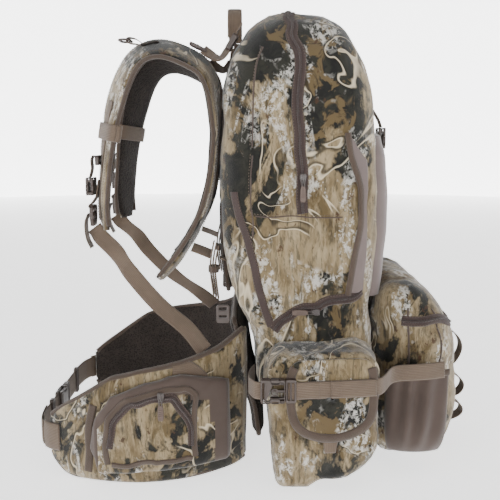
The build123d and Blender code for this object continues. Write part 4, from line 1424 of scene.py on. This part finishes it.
# %% rings, tabs and locks
tabs, lifter_bands, lifter_parts, adjusters, anchors = [], [], [], [], []
for side_name, sign in SIDES.items():
    x = sign * STRAP_X
    bend = []
    for k in range(61):
        a = 2 * math.pi * k / 60
        reach = 0.008 if math.cos(a) >= 0 else -0.008
        bend.append((x + reach + 0.008 * math.cos(a), 0.285 + 0.008 * math.sin(a), 0.646))
    ring = cord_tube(f"ring_{side_name}", np.array(bend), 0.0020, buckle_plastic, around=12, flat=0.85,
                     faces_to=(0, 0, 1))
    rides(ring, f"d_ring_{side_name}", f"d_ring_{side_name}", slot="buckle_plastic")
    loop = curve_through([(x, 0.262, 0.6400), (x, 0.270, 0.6416), (x, 0.279, 0.6428), (x, 0.2824, 0.6460),
                          (x, 0.279, 0.6496), (x, 0.270, 0.6480), (x, 0.262, 0.6430)], 40)
    out = unit(np.cross(heading(loop), (1, 0, 0)))
    tabs.append(strip("ring_tab", loop, out, 0.020, 0.0012, strap_web, across=8))
    hang = curve_through([(x, 0.3290, 0.440), (x, 0.3325, 0.418), (x, 0.3400, 0.4050), (x, 0.3450, 0.4010),
                          (x, 0.3440, 0.3990)], 30)
    tabs.append(strip("lock_tab", hang, (0, 1, 0.2), 0.023, 0.0024, strap_web, across=8))
    tabs.append(moulding("chest_rail", [rounded_box(0, 0, 0.026, 0.015, 0.003),
                                        rounded_box(0, 0, 0.017, 0.0055, 0.001)], 0.006,
                         seat((x, 0.331, 0.470), (1, 0, 0), (0, 1, 0)), buckle_plastic, 0.001))
    lock = ladder_lock(f"lock_{side_name}", 0.025, seat((x, 0.341, 0.402), (-1, 0, 0), (0, 1, 0)))
    rides(lock, f"ladder_lock_{side_name}", f"ladder_lock_{side_name}", slot="buckle_plastic")
    top = curve_through([(x, 0.111, 0.670), (x, 0.116, 0.662), (x, 0.121, 0.654)], 12)
    lifter_bands.append(strip("lifter_top", top, (0, 0.85, 0.5), 0.020, WEB_THICK, strap_web, across=8))
    run = [(x, 0.133, 0.633), (x, 0.139, 0.6245), (x, 0.145, 0.6200), (x, 0.152, 0.6215),
           (x, 0.159, 0.6255), (x, 0.170, 0.6335)]
    lifter_bands.append(strip("lifter_run", curve_through(run, 40), (0.55 * sign, 0.4, 1), 0.020, WEB_THICK,
                              strap_web, across=8))
    lean = Matrix(((1, 0, 0), (0, 0.52, 0.854), (0, -0.854, 0.52))).to_4x4()
    small = Matrix.Translation((x, 0.127, 0.6435)) @ lean
    body = rounded_box(0, 0, 0.027, 0.026, 0.004)
    slots = [rounded_box(0, 0.007, 0.020, 0.0035, 0.001), rounded_box(0, -0.007, 0.020, 0.0035, 0.001)]
    lifter_parts.append(moulding("lifter_buckle", [body, *slots], 0.0085, small, buckle_plastic, 0.0014))
    lifter_parts.append(moulding("lifter_button", [rounded_box(0, 0, 0.012, 0.006, 0.002)], 0.0100, small,
                                 buckle_plastic, 0.0012))
    at = seat((x, 0.189, 0.642), (1, 0, 0), (0, -0.42, 0.907))
    lifter_parts.append(ladder_lock("lifter_lock", 0.020, at, 0.005))
    # adjuster webbing: from the ladder lock down and back to the hip wing
    way = Vector((sign * 48, -175, 0)).normalized()
    path = [(0, 367), (12, 351), (37, 328), (60, 297), (104, 251), (150, 216)]
    path = [(x + way.x * s * MM, 0.340 + way.y * s * MM, z * MM) for s, z in path]
    slant = curve_through(path + [(sign * 0.152, 0.168, 0.188)], 90)
    adjusters.append(strip("adjuster_run", slant, (0.25 * sign, 0.6, 0.75), 0.025, WEB_THICK, strap_web,
                           across=10))
    spare = [(x, 0.3475, 0.388), (x, 0.3520, 0.374), (x, 0.3505, 0.352), (x, 0.3440, 0.336)]
    adjusters.append(strip("adjuster_end", curve_through(spare, 30), (0, 1, 0), 0.024, WEB_THICK, strap_web,
                           across=8))
    hold = sign * 0.112
    top = curve_through([(hold, 0.136, 0.319), (hold, 0.140, 0.3205), (hold, 0.146, 0.3225)], 8)
    anchors.append(strip("anchor_top", top, (0, -0.3, 1), 0.022, 0.002, strap_web, across=8))
    bundle = curve_through([(hold, 0.150, 0.345), (hold, 0.1545, 0.322), (hold, 0.1555, 0.300),
                            (hold, 0.151, 0.262)], 40)
    for step in (-0.0036, 0.0, 0.0036):
        fold = bundle + np.array((0.0, step, 0.0)) + np.array((0, 0, 1)) * step * 0.8
        anchors.append(strip("anchor_fold", fold, (0, 1, 0), 0.0195, WEB_THICK, strap_web, crown=0.0006,
                             across=8))
    wrap = []
    for k in range(41):
        a = 2 * math.pi * k / 40
        wrap.append((hold + 0.0115 * math.cos(a), 0.1555 + 0.0068 * math.sin(a), 0.306))
    wrap = np.array(wrap)
    anchors.append(strip("anchor_wrap", wrap, wrap - np.array((hold, 0.1555, 0.306)), 0.010, 0.0014,
                         binding, across=7))
    tail = curve_through([(hold, 0.159, 0.3275), (hold, 0.172, 0.333), (hold, 0.188, 0.339)], 20)
    anchors.append(strip("anchor_tail", tail, (0.7 * sign, -0.3, 1), 0.020, WEB_THICK, strap_web, across=8))
rides(joined("strap_tab_webbing", tabs), "pack", "strap_tabs", slot="webbing")
rides(joined("load_lifter_webbing", lifter_bands), "pack", "load_lifters", slot="webbing")
rides(joined("lifter_mouldings", lifter_parts), "pack", "lifter_buckles", slot="buckle_plastic")
rides(joined("adjuster_straps", adjusters), "pack", "adjuster_webbing", slot="webbing")
rides(joined("anchor_straps", anchors), "pack", "strap_anchors", slot="webbing")

# chest buckle halves, hanging open
CHEST = [(0.3375, 0.4765), (0.3400, 0.470), (0.3395, 0.458), (0.3415, 0.449), (0.3430, 0.4440)]
for side_name, sign in SIDES.items():
    x = sign * STRAP_X
    band = strip("chest_band", curve_through([(x, y, z) for y, z in CHEST], 24), (0, 1, 0), 0.0195,
                 0.0020, strap_web, across=8)
    if side_name == "left":
        half = buckle_housing("chest_housing", 0.020, seat((x, 0.343, 0.417), (0, 0, -1), (0, 1, 0)))
        node = "sternum_housing"
    else:
        half = buckle_latch("chest_latch", 0.020, seat((x, 0.343, 0.431), (0, 0, 1), (0, 1, 0)))
        node = "sternum_latch"
    rides(joined(f"chest_{side_name}", [half, band]), node, node, slot="buckle_plastic")

label_place = Matrix.Translation((-STRAP_X, 0.248, 0.6415)) @ Matrix.Rotation(math.radians(-12), 4, "X")
label = moulding("strap_label", [rounded_box(0, 0, 0.034, 0.026, 0.003)], 0.0016, label_place,
                 patch_cloth, 0.0005)
mark = moulding("strap_label_mark", [rounded_box(0, 0.006, 0.024, 0.0030, 0.001)], 0.0008, label_place,
                patch_mark, 0.0002, 0.0011)
rides(joined("strap_patch_cloth", [label, mark]), "pack", "strap_patch", slot="patch")

# haul loop: a webbing handle on top of the back
grip_path = curve_through([(-0.034, 0.124, 0.6585), (-0.0355, 0.124, 0.672), (-0.0340, 0.124, 0.690),
                           (-0.022, 0.124, 0.7005), (0.0, 0.124, 0.7025), (0.022, 0.124, 0.7005),
                           (0.0340, 0.124, 0.690), (0.0355, 0.124, 0.672), (0.034, 0.124, 0.6585)], 80)
grip_out = grip_path - np.array((0.0, 0.124, 0.668))
handle = strip("haul_handle", grip_path, grip_out, 0.022, 0.0026, strap_web, across=9)
rides(handle, "haul_loop", "haul_loop", slot="webbing")
feet = []
for sign in SIDES.values():
    foot = curve_through([(sign * 0.034, y, z) for y, z in ((0.1255, 0.648), (0.1275, 0.636),
                                                            (0.1290, 0.622))], 16)
    feet.append(strip("haul_foot", foot, (0, 1, 0.2), 0.024, 0.003, strap_web, across=9))
    feet.append(moulding("haul_foot_pad", [rounded_box(0, 0, 0.024, 0.026, 0.003)], 0.010,
                         seat((sign * 0.034, 0.121, 0.635), (1, 0, 0), (0, 1, 0.12)), brown_cloth, 0.002))
rides(joined("haul_feet", feet), "pack", "haul_anchors", slot="webbing")
print("strap hardware made")

# %% [markdown]
# ## Hip wings
# A hip wing is a padded panel that curves forward round the hip. Its plan line
# gives the bend, and its side outline gives the height at each point along it.
# The outer face is camouflage and the inner face is mesh, with a bound edge.

# %% wings
def outline_at(outline, y):
    """The lowest and highest z where a side outline (y, z) crosses y, in millimetres."""
    found = []
    for (y0, z0), (y1, z1) in zip(outline, outline[1:] + outline[:1]):
        if min(y0, y1) <= y <= max(y0, y1) and y0 != y1:
            found.append(z0 + (z1 - z0) * (y - y0) / (y1 - y0))
    return (min(found), max(found)) if found else (None, None)


def bent_panel(name, plan, outline, thick, outer, inner, sign, puffs=(), seed=2.0, columns=120, around=56):
    """A pad that follows a plan line (x, y) and fills a side outline (y, z)."""
    line = curve_through([(x, y, 0) for x, y in plan], 400)
    low_y, high_y = min(y for y, z in outline) + 0.6, max(y for y, z in outline) - 0.6
    inside = line[(line[:, 1] >= low_y) & (line[:, 1] <= high_y)]
    at = np.linspace(0, len(inside) - 1, columns)
    mid = np.stack([np.interp(at, np.arange(len(inside)), inside[:, k]) for k in range(3)], 1)
    tangent = heading(mid)
    normal = np.stack([tangent[:, 1], -tangent[:, 0], np.zeros(columns)], 1)
    verts, rim = [], []
    for i in range(columns):
        low, high = outline_at(outline, float(np.clip(mid[i, 1], low_y, high_y)))
        centre, half = (low + high) / 2, max((high - low) / 2, 0.8)
        fill = min(1.0, (half / 20.0) ** 0.5, 0.35 + 14.0 * min(i, columns - 1 - i) / columns)
        rim.append((mid[i], low, high))
        for k in range(around):
            a = 2 * math.pi * k / around
            up = abs(math.sin(a)) ** 0.30 * math.copysign(1, math.sin(a)) * half
            out = abs(math.cos(a)) ** 0.55 * math.copysign(1, math.cos(a)) * thick / 2 * fill
            spot = mid[i] + normal[i] * out + np.array((0, 0, centre + up))
            verts.append((sign * spot[0] * MM, spot[1] * MM, max(spot[2], 0.8) * MM))
    piece = outwards(mesh_piece(name, verts, tube_faces(columns, around), outer))
    if puffs:
        flat = np.array(verts)
        moved = puffed(flat, np.array([v.normal for v in piece.data.vertices]), puffs, seed)
        moved[:, 2] = np.maximum(moved[:, 2], 0.0012)
        piece.data.vertices.foreach_set("co", moved.astype(np.float32).ravel())
        piece.data.update()
    piece.data.materials.append(inner)
    for polygon in piece.data.polygons:
        c, n = polygon.center, polygon.normal
        column = int(np.clip(np.interp(c.y * 1000, mid[:, 1], np.arange(columns)), 0, columns - 1))
        facing = n.x * sign * normal[column, 0] + n.y * normal[column, 1]
        if facing < -0.05:
            polygon.material_index = 1
    return piece, mid, normal, rim


WING_PLAN = [(112, 108), (150, 142), (184, 196), (198, 262), (188, 334), (160, 400)]
WING_SIDE = [(92, 24), (118, 2), (330, 2), (372, 5), (392, 24), (404, 50), (412, 84), (398, 92),
             (380, 106), (350, 126), (302, 158), (258, 169), (201, 179), (150, 191), (92, 224)]
WING_SEAM = [(130, 176), (200, 168), (262, 158), (310, 146), (352, 116), (384, 96), (398, 80)]
WING_PUFFS = [(0.11, 0.0022, False), (0.05, 0.0012, True)]
WINGPOCKET_PLAN = [(160, 124), (178, 148), (199, 192), (214, 240), (215, 280), (204, 332)]
WINGPOCKET_SIDE = [(132, 30), (316, 24), (330, 60), (322, 104), (300, 138), (250, 158), (200, 167),
                   (132, 150)]
ARCH = [(150, 60), (152, 92), (162, 118), (186, 136), (220, 142), (262, 137), (296, 118), (314, 88),
        (320, 60)]
for side_name, sign in SIDES.items():
    pad, mid, normal, rim = bent_panel(f"wing_pad_{side_name}", WING_PLAN, WING_SIDE, 17.5, camo_pouch,
                                       mesh_cloth, sign, puffs=WING_PUFFS, seed=6.1 + sign)
    wing_skin = skin_of(pad)
    top = [(sign * m[0] * MM, m[1] * MM, high * MM) for m, low, high in rim[2:-1]]
    low_edge = [(sign * m[0] * MM, m[1] * MM, max(low, 5.6) * MM) for m, low, high in rim[2:-1]]
    rim_line = curve_through(top[::6] + [top[-1]], 150)
    low_line = curve_through(low_edge[::6] + [low_edge[-1]], 130)
    parts = [pad]
    for edge in (rim_line, low_line):
        parts.append(cord_tube("wing_binding", edge, 0.0052, binding, around=10, flat=0.9))
    seam_line = draped_line(wing_skin, [(sign * 0.30, y * MM, z * MM) for y, z in WING_SEAM], 120, 0.0004)
    parts.append(items_along("wing_stitches", [(seam_line, normals_at(wing_skin, seam_line))], 0.0044,
                             (0.0032, 0.0009, 0.0007), thread))
    nose = [(sign * 0.26, y, z) for y, z in ((0.356, 0.006), (0.350, 0.050), (0.352, 0.090), (0.344, 0.128))]
    lie = draped_line(wing_skin, nose, 60)
    parts.append(strip("wing_nose_tape", lie, normals_at(wing_skin, lie), 0.012, 0.0016, binding, across=7,
                       surface=wing_skin, lift=0.0005))
    # a patch of webbing at the wing's root takes the adjuster webbing
    root = draped_line(wing_skin, [(sign * 0.24, 0.205, 0.198), (sign * 0.24, 0.180, 0.180),
                                   (sign * 0.24, 0.140, 0.146)], 40)
    parts.append(strip("wing_root_tape", root, normals_at(wing_skin, root), 0.030, 0.0020, strap_web,
                       across=9, surface=wing_skin, lift=0.0006))
    wing = joined(f"wing_cloth_{side_name}", parts)
    rides(wing, "pack", f"hip_wing_{side_name}", slot="camo", padded=0.8)

    # the zipped pocket on the wing
    face, mid, normal, rim = bent_panel(f"wing_pocket_{side_name}_body", WINGPOCKET_PLAN, WINGPOCKET_SIDE,
                                        19.0, camo_pouch, lining, sign,
                                        puffs=[(0.08, 0.0028, False), (0.035, 0.0016, True)],
                                        seed=14.1 + sign, columns=110)
    face.data.materials.append(brown_cloth)
    arch_y = [y for y, z in ARCH[1:-1]]
    arch_z = [z for y, z in ARCH[1:-1]]
    for polygon in face.data.polygons:
        c = polygon.center
        over = c.z * 1000 > np.interp(c.y * 1000, arch_y, arch_z)
        behind = c.y * 1000 < 152 or c.y * 1000 > 319
        if polygon.material_index == 0 and (over or behind):
            polygon.material_index = 2
    pocket_face = skin_of(face)
    guide = [(sign * 0.30, y * MM, z * MM) for y, z in ARCH]
    zip_line = zipper(f"wing_zip_{side_name}", pocket_face, guide, 0.013, 200)
    rides(zip_line, "pack", slot="zip_tape")
    parts = [face]
    border = [(138, 34), (135, 90), (136, 146), (200, 163), (250, 153), (298, 133), (319, 100), (326, 60),
              (314, 30)]
    lie = draped_line(pocket_face, [(sign * 0.30, y * MM, z * MM) for y, z in border], 180)
    parts.append(strip("pocket_binding", lie, normals_at(pocket_face, lie), 0.0085, 0.0018, binding,
                       across=7, surface=pocket_face, lift=0.0006))
    base = draped_line(pocket_face, [(sign * 0.30, 0.140, 0.036), (sign * 0.30, 0.22, 0.034),
                                     (sign * 0.30, 0.312, 0.031)], 90)
    parts.append(strip("pocket_base_binding", base, normals_at(pocket_face, base), 0.007, 0.0016, binding,
                       across=7, surface=pocket_face, lift=0.0006))
    pocket = joined(f"wing_pocket_cloth_{side_name}", parts)
    rides(pocket, "pack", f"wing_pocket_{side_name}", slot="pocket_cloth", padded=0.4)
print("hip wings made")

# %% [markdown]
# ## Waist belt
# Wide webbing leaves each wing's nose and meets at a big side-release buckle.

# %% belt
BELT_Z, BELT_Y, BELT_WEB = 0.062, 0.421, 0.038
near_run = curve_through([(-0.166, 0.404, BELT_Z), (-0.152, 0.4115, BELT_Z), (-0.140, 0.4160, BELT_Z),
                          (-0.118, 0.4195, BELT_Z), (-0.100, BELT_Y, BELT_Z), (-0.070, BELT_Y, BELT_Z),
                          (-0.036, BELT_Y, BELT_Z)], 70)
far_run = curve_through([(0.166, 0.404, BELT_Z), (0.152, 0.4115, BELT_Z), (0.140, 0.4160, BELT_Z),
                         (0.118, 0.4195, BELT_Z), (0.100, BELT_Y, BELT_Z)], 40)
moving_run = curve_through([(0.100, BELT_Y, BELT_Z), (0.070, BELT_Y, BELT_Z), (0.040, BELT_Y, BELT_Z),
                            (0.017, BELT_Y, BELT_Z)], 40)


def band_faces(line):
    return unit(np.cross((0, 0, 1.0), heading(line)))


near_faces = band_faces(near_run)
far_faces = -band_faces(far_run)
fixed_webs = [strip("belt_near", near_run, near_faces, BELT_WEB, 0.0022, strap_web, across=12),
              strip("belt_far", far_run, far_faces, BELT_WEB, 0.0022, strap_web, across=12)]
spare = near_run[6:40] + near_faces[6:40] * 0.0034
fixed_webs.append(strip("belt_spare", spare, near_faces[6:40], BELT_WEB, 0.0020, strap_web, across=12))
for sign in SIDES.values():
    patch = curve_through([(sign * 0.178, 0.383, BELT_Z), (sign * 0.170, 0.398, BELT_Z),
                           (sign * 0.160, 0.4090, BELT_Z)], 24)
    fixed_webs.append(strip("belt_root", patch, (sign * 0.8, 0.6, 0), 0.042, 0.0036, strap_web, across=12))
rides(joined("belt_fixed_webbing", fixed_webs), "pack", "belt_webbing", slot="webbing")
moving_web = strip("belt_moving_webbing", moving_run, (0, 1, 0), BELT_WEB, 0.0022, strap_web, across=12)
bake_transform(moving_web)
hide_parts("belt_webbing")
belt_seat = seat((0.0, BELT_Y, BELT_Z), (1, 0, 0), (0, 1, 0))
rides(buckle_housing("belt_housing_plastic", 0.0304, belt_seat), "pack", "belt_housing",
      slot="buckle_plastic")
rides(buckle_latch("belt_latch_plastic", 0.0304, belt_seat), "belt_latch", "belt_latch",
      slot="buckle_plastic")
adjust = []
for x in (-0.078, 0.084):
    body = rounded_box(0, 0, 0.014, 0.046, 0.003)
    slots = [rounded_box(-0.0028, 0, 0.0026, 0.038, 0.0008), rounded_box(0.0028, 0, 0.0026, 0.038, 0.0008)]
    adjust.append(moulding("belt_slide", [body, *slots], 0.0068,
                           seat((x, BELT_Y, BELT_Z), (1, 0, 0), (0, 1, 0)), buckle_plastic, 0.0014))
rides(joined("belt_slides", adjust), "pack", "belt_adjusters", slot="buckle_plastic")

# %% [markdown]
# ## Front straps and the daisy chain
# Two buckled straps cross the drop-down panel. Loops of webbing stand out from the
# pouch's front, sewn down at regular steps.

# %% front straps
front_top = curve_through([(0, -0.084, 0.568), (0, -0.094, 0.555), (0, -0.101, 0.545),
                           (0, -0.109, 0.532), (0, -0.1135, 0.520)], 40)
front_low = curve_through([(0, -0.1135, 0.301), (0, -0.1135, 0.2995), (0, -0.108, 0.2975),
                           (0, -0.100, 0.290)], 20)
front_webs = [strip("front_top", front_top, (0, -1, 0.3), WEB, WEB_THICK, strap_web, across=9),
              strip("front_low", front_low, (0, -1, -0.3), WEB, WEB_THICK, strap_web, across=9)]
rides(joined("front_fixed_webbing", front_webs), "pack", "front_webbing", slot="webbing")
for name, sign, mouth in (("upper", -1, 0.486), ("lower", 1, 0.334)):
    lie = seat((0, -0.114, mouth), (0, 0, sign), (0, -1, 0))
    rides(buckle_housing(f"front_housing_{name}", WEB, lie), "pack", "front_housings",
          slot="buckle_plastic")
    rides(buckle_latch(f"front_latch_{name}_plastic", WEB, lie), f"front_latch_{name}",
          f"front_latch_{name}", slot="buckle_plastic")
    line = curve_through([(0, -0.1140, mouth + sign * 0.017), (0, -0.1120, mouth + sign * 0.030),
                          (0, -0.1105, mouth + sign * 0.045), (0, -0.1095, 0.410)], 50)
    web = strip(f"front_middle_{name}", line, (0, -1, 0), WEB, WEB_THICK, strap_web, across=9)
    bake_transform(web)
    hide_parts("front_webbing")

# %% daisy chain
DAISY = [(-207, 207), (-222, 198), (-238, 182), (-241, 165), (-232, 146), (-216, 134), (-232, 124),
         (-247, 108), (-240, 92), (-216, 84), (-236, 77), (-247, 66), (-241, 54), (-213, 43)]
chains = []
for sign in SIDES.values():
    line = curve_through([(sign * 0.060, y * MM, z * MM) for y, z in DAISY], 150)
    chains.append(strip("daisy", line, (0, -1, 0.05), 0.0245, WEB_THICK, strap_web, across=9))
    low = draped_line(pouch_skin, [(sign * 0.060, -0.30, z * MM) for z in (210, 160, 100, 42)], 80)
    chains.append(strip("daisy_base", low, normals_at(pouch_skin, low), 0.0245, 0.0014, strap_web, across=9,
                        surface=pouch_skin, lift=0.0005))
rides(joined("daisy_webbing", chains), "pack", "daisy_chain", slot="webbing")

# %% [markdown]
# ## Back padding
# The back panel and the lumbar pad are thick foam under mesh. Long channels let air
# through, so the pads read as separate cushions.

# %% back padding
def cushion(name, line, half, thick, grooves, edge):
    """A pad lying on a back line (y, z); grooves run up it at the given x."""
    rows, columns = 120, 90
    path = curve_through([(0, y * MM, z * MM) for y, z in line], rows)
    tangent = heading(path)
    out = unit(np.cross(tangent, (1.0, 0, 0)))
    out *= np.sign(out[:, 1:2])
    verts = []
    for side in (1, -1):
        for i in range(rows):
            grow = min(1.0, (min(i, rows - 1 - i) / 5.0) ** 0.4)
            for j in range(columns):
                u = -1 + 2 * j / (columns - 1)
                x = u * half
                rim = (1 - abs(u) ** 10) ** 0.5 if abs(u) < 1 else 0.0
                dip = sum(math.exp(-((x - g) / 0.006) ** 2) for g in grooves)
                across = (i / (rows - 1.0) * 4.0) % 1.0 - 0.5
                dip += 0.55 * math.exp(-(across / 0.05) ** 2) * (1 - dip)
                lift = (thick / 2) * grow * rim * (1 - 0.42 * max(dip, 0) if side > 0 else 1)
                spot = path[i] + out[i] * lift * side
                verts.append((x * (0.97 + 0.03 * grow), spot[1], spot[2]))
    size = rows * columns
    faces = grid_faces(rows, columns) + [quad[::-1] for quad in grid_faces(rows, columns, size)]
    border = border_of(rows, columns)
    for a, b in zip(border, border[1:] + border[:1]):
        faces.append((a, a + size, b + size, b))
    pad = outwards(mesh_piece(name, verts, faces, mesh_cloth))
    loop = [verts[k] for k in border[::4]]
    loop.append(loop[0])
    piping = cord_tube(name + "_piping", curve_through(loop, 260), edge, binding, around=8, flat=0.9)
    return joined(name + "_cloth", [pad, piping])


back = cushion("back_cushion", [(133.5, 270), (137, 300), (141, 352), (141.5, 440), (139, 520),
                                (132, 590), (118, 634)], 0.097, 0.0125, (-0.032, 0.032), 0.0034)
rides(back, "pack", "back_panel", slot="mesh", padded=0.8)
lumbar = cushion("lumbar_cushion", [(86, 36), (92, 80), (104, 119), (114, 181), (125, 224)], 0.1065,
                 0.020, (-0.036, 0.036), 0.0040)
rides(lumbar, "pack", "lumbar_pad", slot="mesh", padded=0.8)
print("back padding made")

# %% [markdown]
# ## Zip sliders
# A slider is a small metal body with a bridge, and a pull of cord in a rubber tab.
# It rides its own body, so it travels along the zip.

# %% sliders
def slider(name, node, at, up, down, skin=None):
    """up is the way out of the cloth; down is the way the pull hangs."""
    spot = Vector(at)
    if skin is not None:
        hit, normal, index, gap = skin.find_nearest(spot)
        spot = hit + normal * 0.0072
    place = seat(spot, down, up)
    body = [(-0.0065, -0.0038), (-0.0030, -0.0050), (0.0050, -0.0036), (0.0065, -0.0028),
            (0.0065, 0.0028), (0.0050, 0.0036), (-0.0030, 0.0050), (-0.0065, 0.0038)]
    parts = [moulding("slider_plate", [body], 0.0030, place, slider_paint, 0.0008),
             moulding("slider_bridge", [rounded_box(0.0, 0, 0.0100, 0.0028, 0.001)], 0.0026, place,
                      slider_paint, 0.0007, 0.0022)]
    loop = [place @ Vector(p) for p in ((0.002, 0.0012, 0.0030), (0.006, 0.0018, 0.0040),
                                        (0.013, 0.0016, 0.0030), (0.014, 0.0, 0.0028),
                                        (0.013, -0.0016, 0.0030), (0.006, -0.0018, 0.0040),
                                        (0.002, -0.0012, 0.0030))]
    parts.append(cord_tube("slider_loop", curve_through([tuple(p) for p in loop], 30), 0.0008,
                           slider_paint, around=7))
    tab = [(0.011, -0.0026), (0.016, -0.0040), (0.030, -0.0042), (0.034, -0.0030), (0.034, 0.0030),
           (0.030, 0.0042), (0.016, 0.0040), (0.011, 0.0026)]
    parts.append(moulding("slider_tab", [tab], 0.0030, place, pull_rubber, 0.0009, 0.0026))
    for step in (0.018, 0.021, 0.024, 0.027):
        parts.append(moulding("slider_rib", [rounded_box(step, 0, 0.0012, 0.0060, 0.0005)], 0.0008, place,
                              pull_rubber, 0.0003, 0.0044))
    piece = joined(name, parts)
    rides(piece, node, node, slot="slider_metal")


for side_name, sign in SIDES.items():
    slider(f"main_slider_{side_name}", f"main_zip_slider_{side_name}", (sign * 0.1612, 0.024, 0.446),
           (sign, 0, 0), (0, 0, -1), bag_skin)
    slider(f"wing_slider_{side_name}", f"wing_zip_slider_{side_name}", (sign * 0.2262, 0.226, 0.142),
           (sign, 0, 0), (0, 0, -1))
    hang = seat((sign * 0.134, 0.141, 0.240), (0, 1, 0), (sign, 0, 0))
    if sign < 0:
        hang = seat((sign * 0.134, 0.141, 0.240), (0, -1, 0), (sign, 0, 0))
    plate = moulding(f"dangler_{side_name}_plate", [rounded_box(0, 0, 0.020, 0.028, 0.004),
                                                    rounded_box(0, 0.008, 0.012, 0.0050, 0.001),
                                                    rounded_box(0, -0.004, 0.012, 0.0040, 0.001)],
                     0.0040, hang, buckle_plastic, 0.001)
    rides(plate, f"loose_buckle_{side_name}", f"loose_buckle_{side_name}", slot="buckle_plastic")
slider("lower_slider", "lower_zip_slider", (-0.165, 0.004, 0.250), (-1, 0, 0), (0, 1, 0))
slider("pouch_slider", "pouch_zip_slider", (0, -0.1995, 0.238), (0, -0.9, 0.436), (0, -0.436, -0.9))
print("sliders made")

# %% [markdown]
# ## What stays as made
# Rigid pieces that nothing replaced keep their shape, and get the finish of their
# slot. The last lines print the model's size.

# %% finishes for the frame's own pieces
SLOT_FINISH = {"camo": camo, "mesh": mesh_cloth, "stretch": stretch_cloth, "pocket_cloth": brown_cloth,
               "webbing": brown_cloth, "zip_tape": zip_tape, "buckle_plastic": buckle_plastic,
               "slider_metal": slider_paint, "patch": patch_cloth, "lining": lining,
               "sheet_plastic": buckle_plastic, "stay_metal": stay_metal}
for entry in frame["record"]["subparts"]:
    node = frame["nodes"][entry["node"]]
    node.data.materials.clear()
    node.data.materials.append(SLOT_FINISH[entry["material_slot"]])

low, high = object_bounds()
print("size", [round(v, 3) for v in high - low])
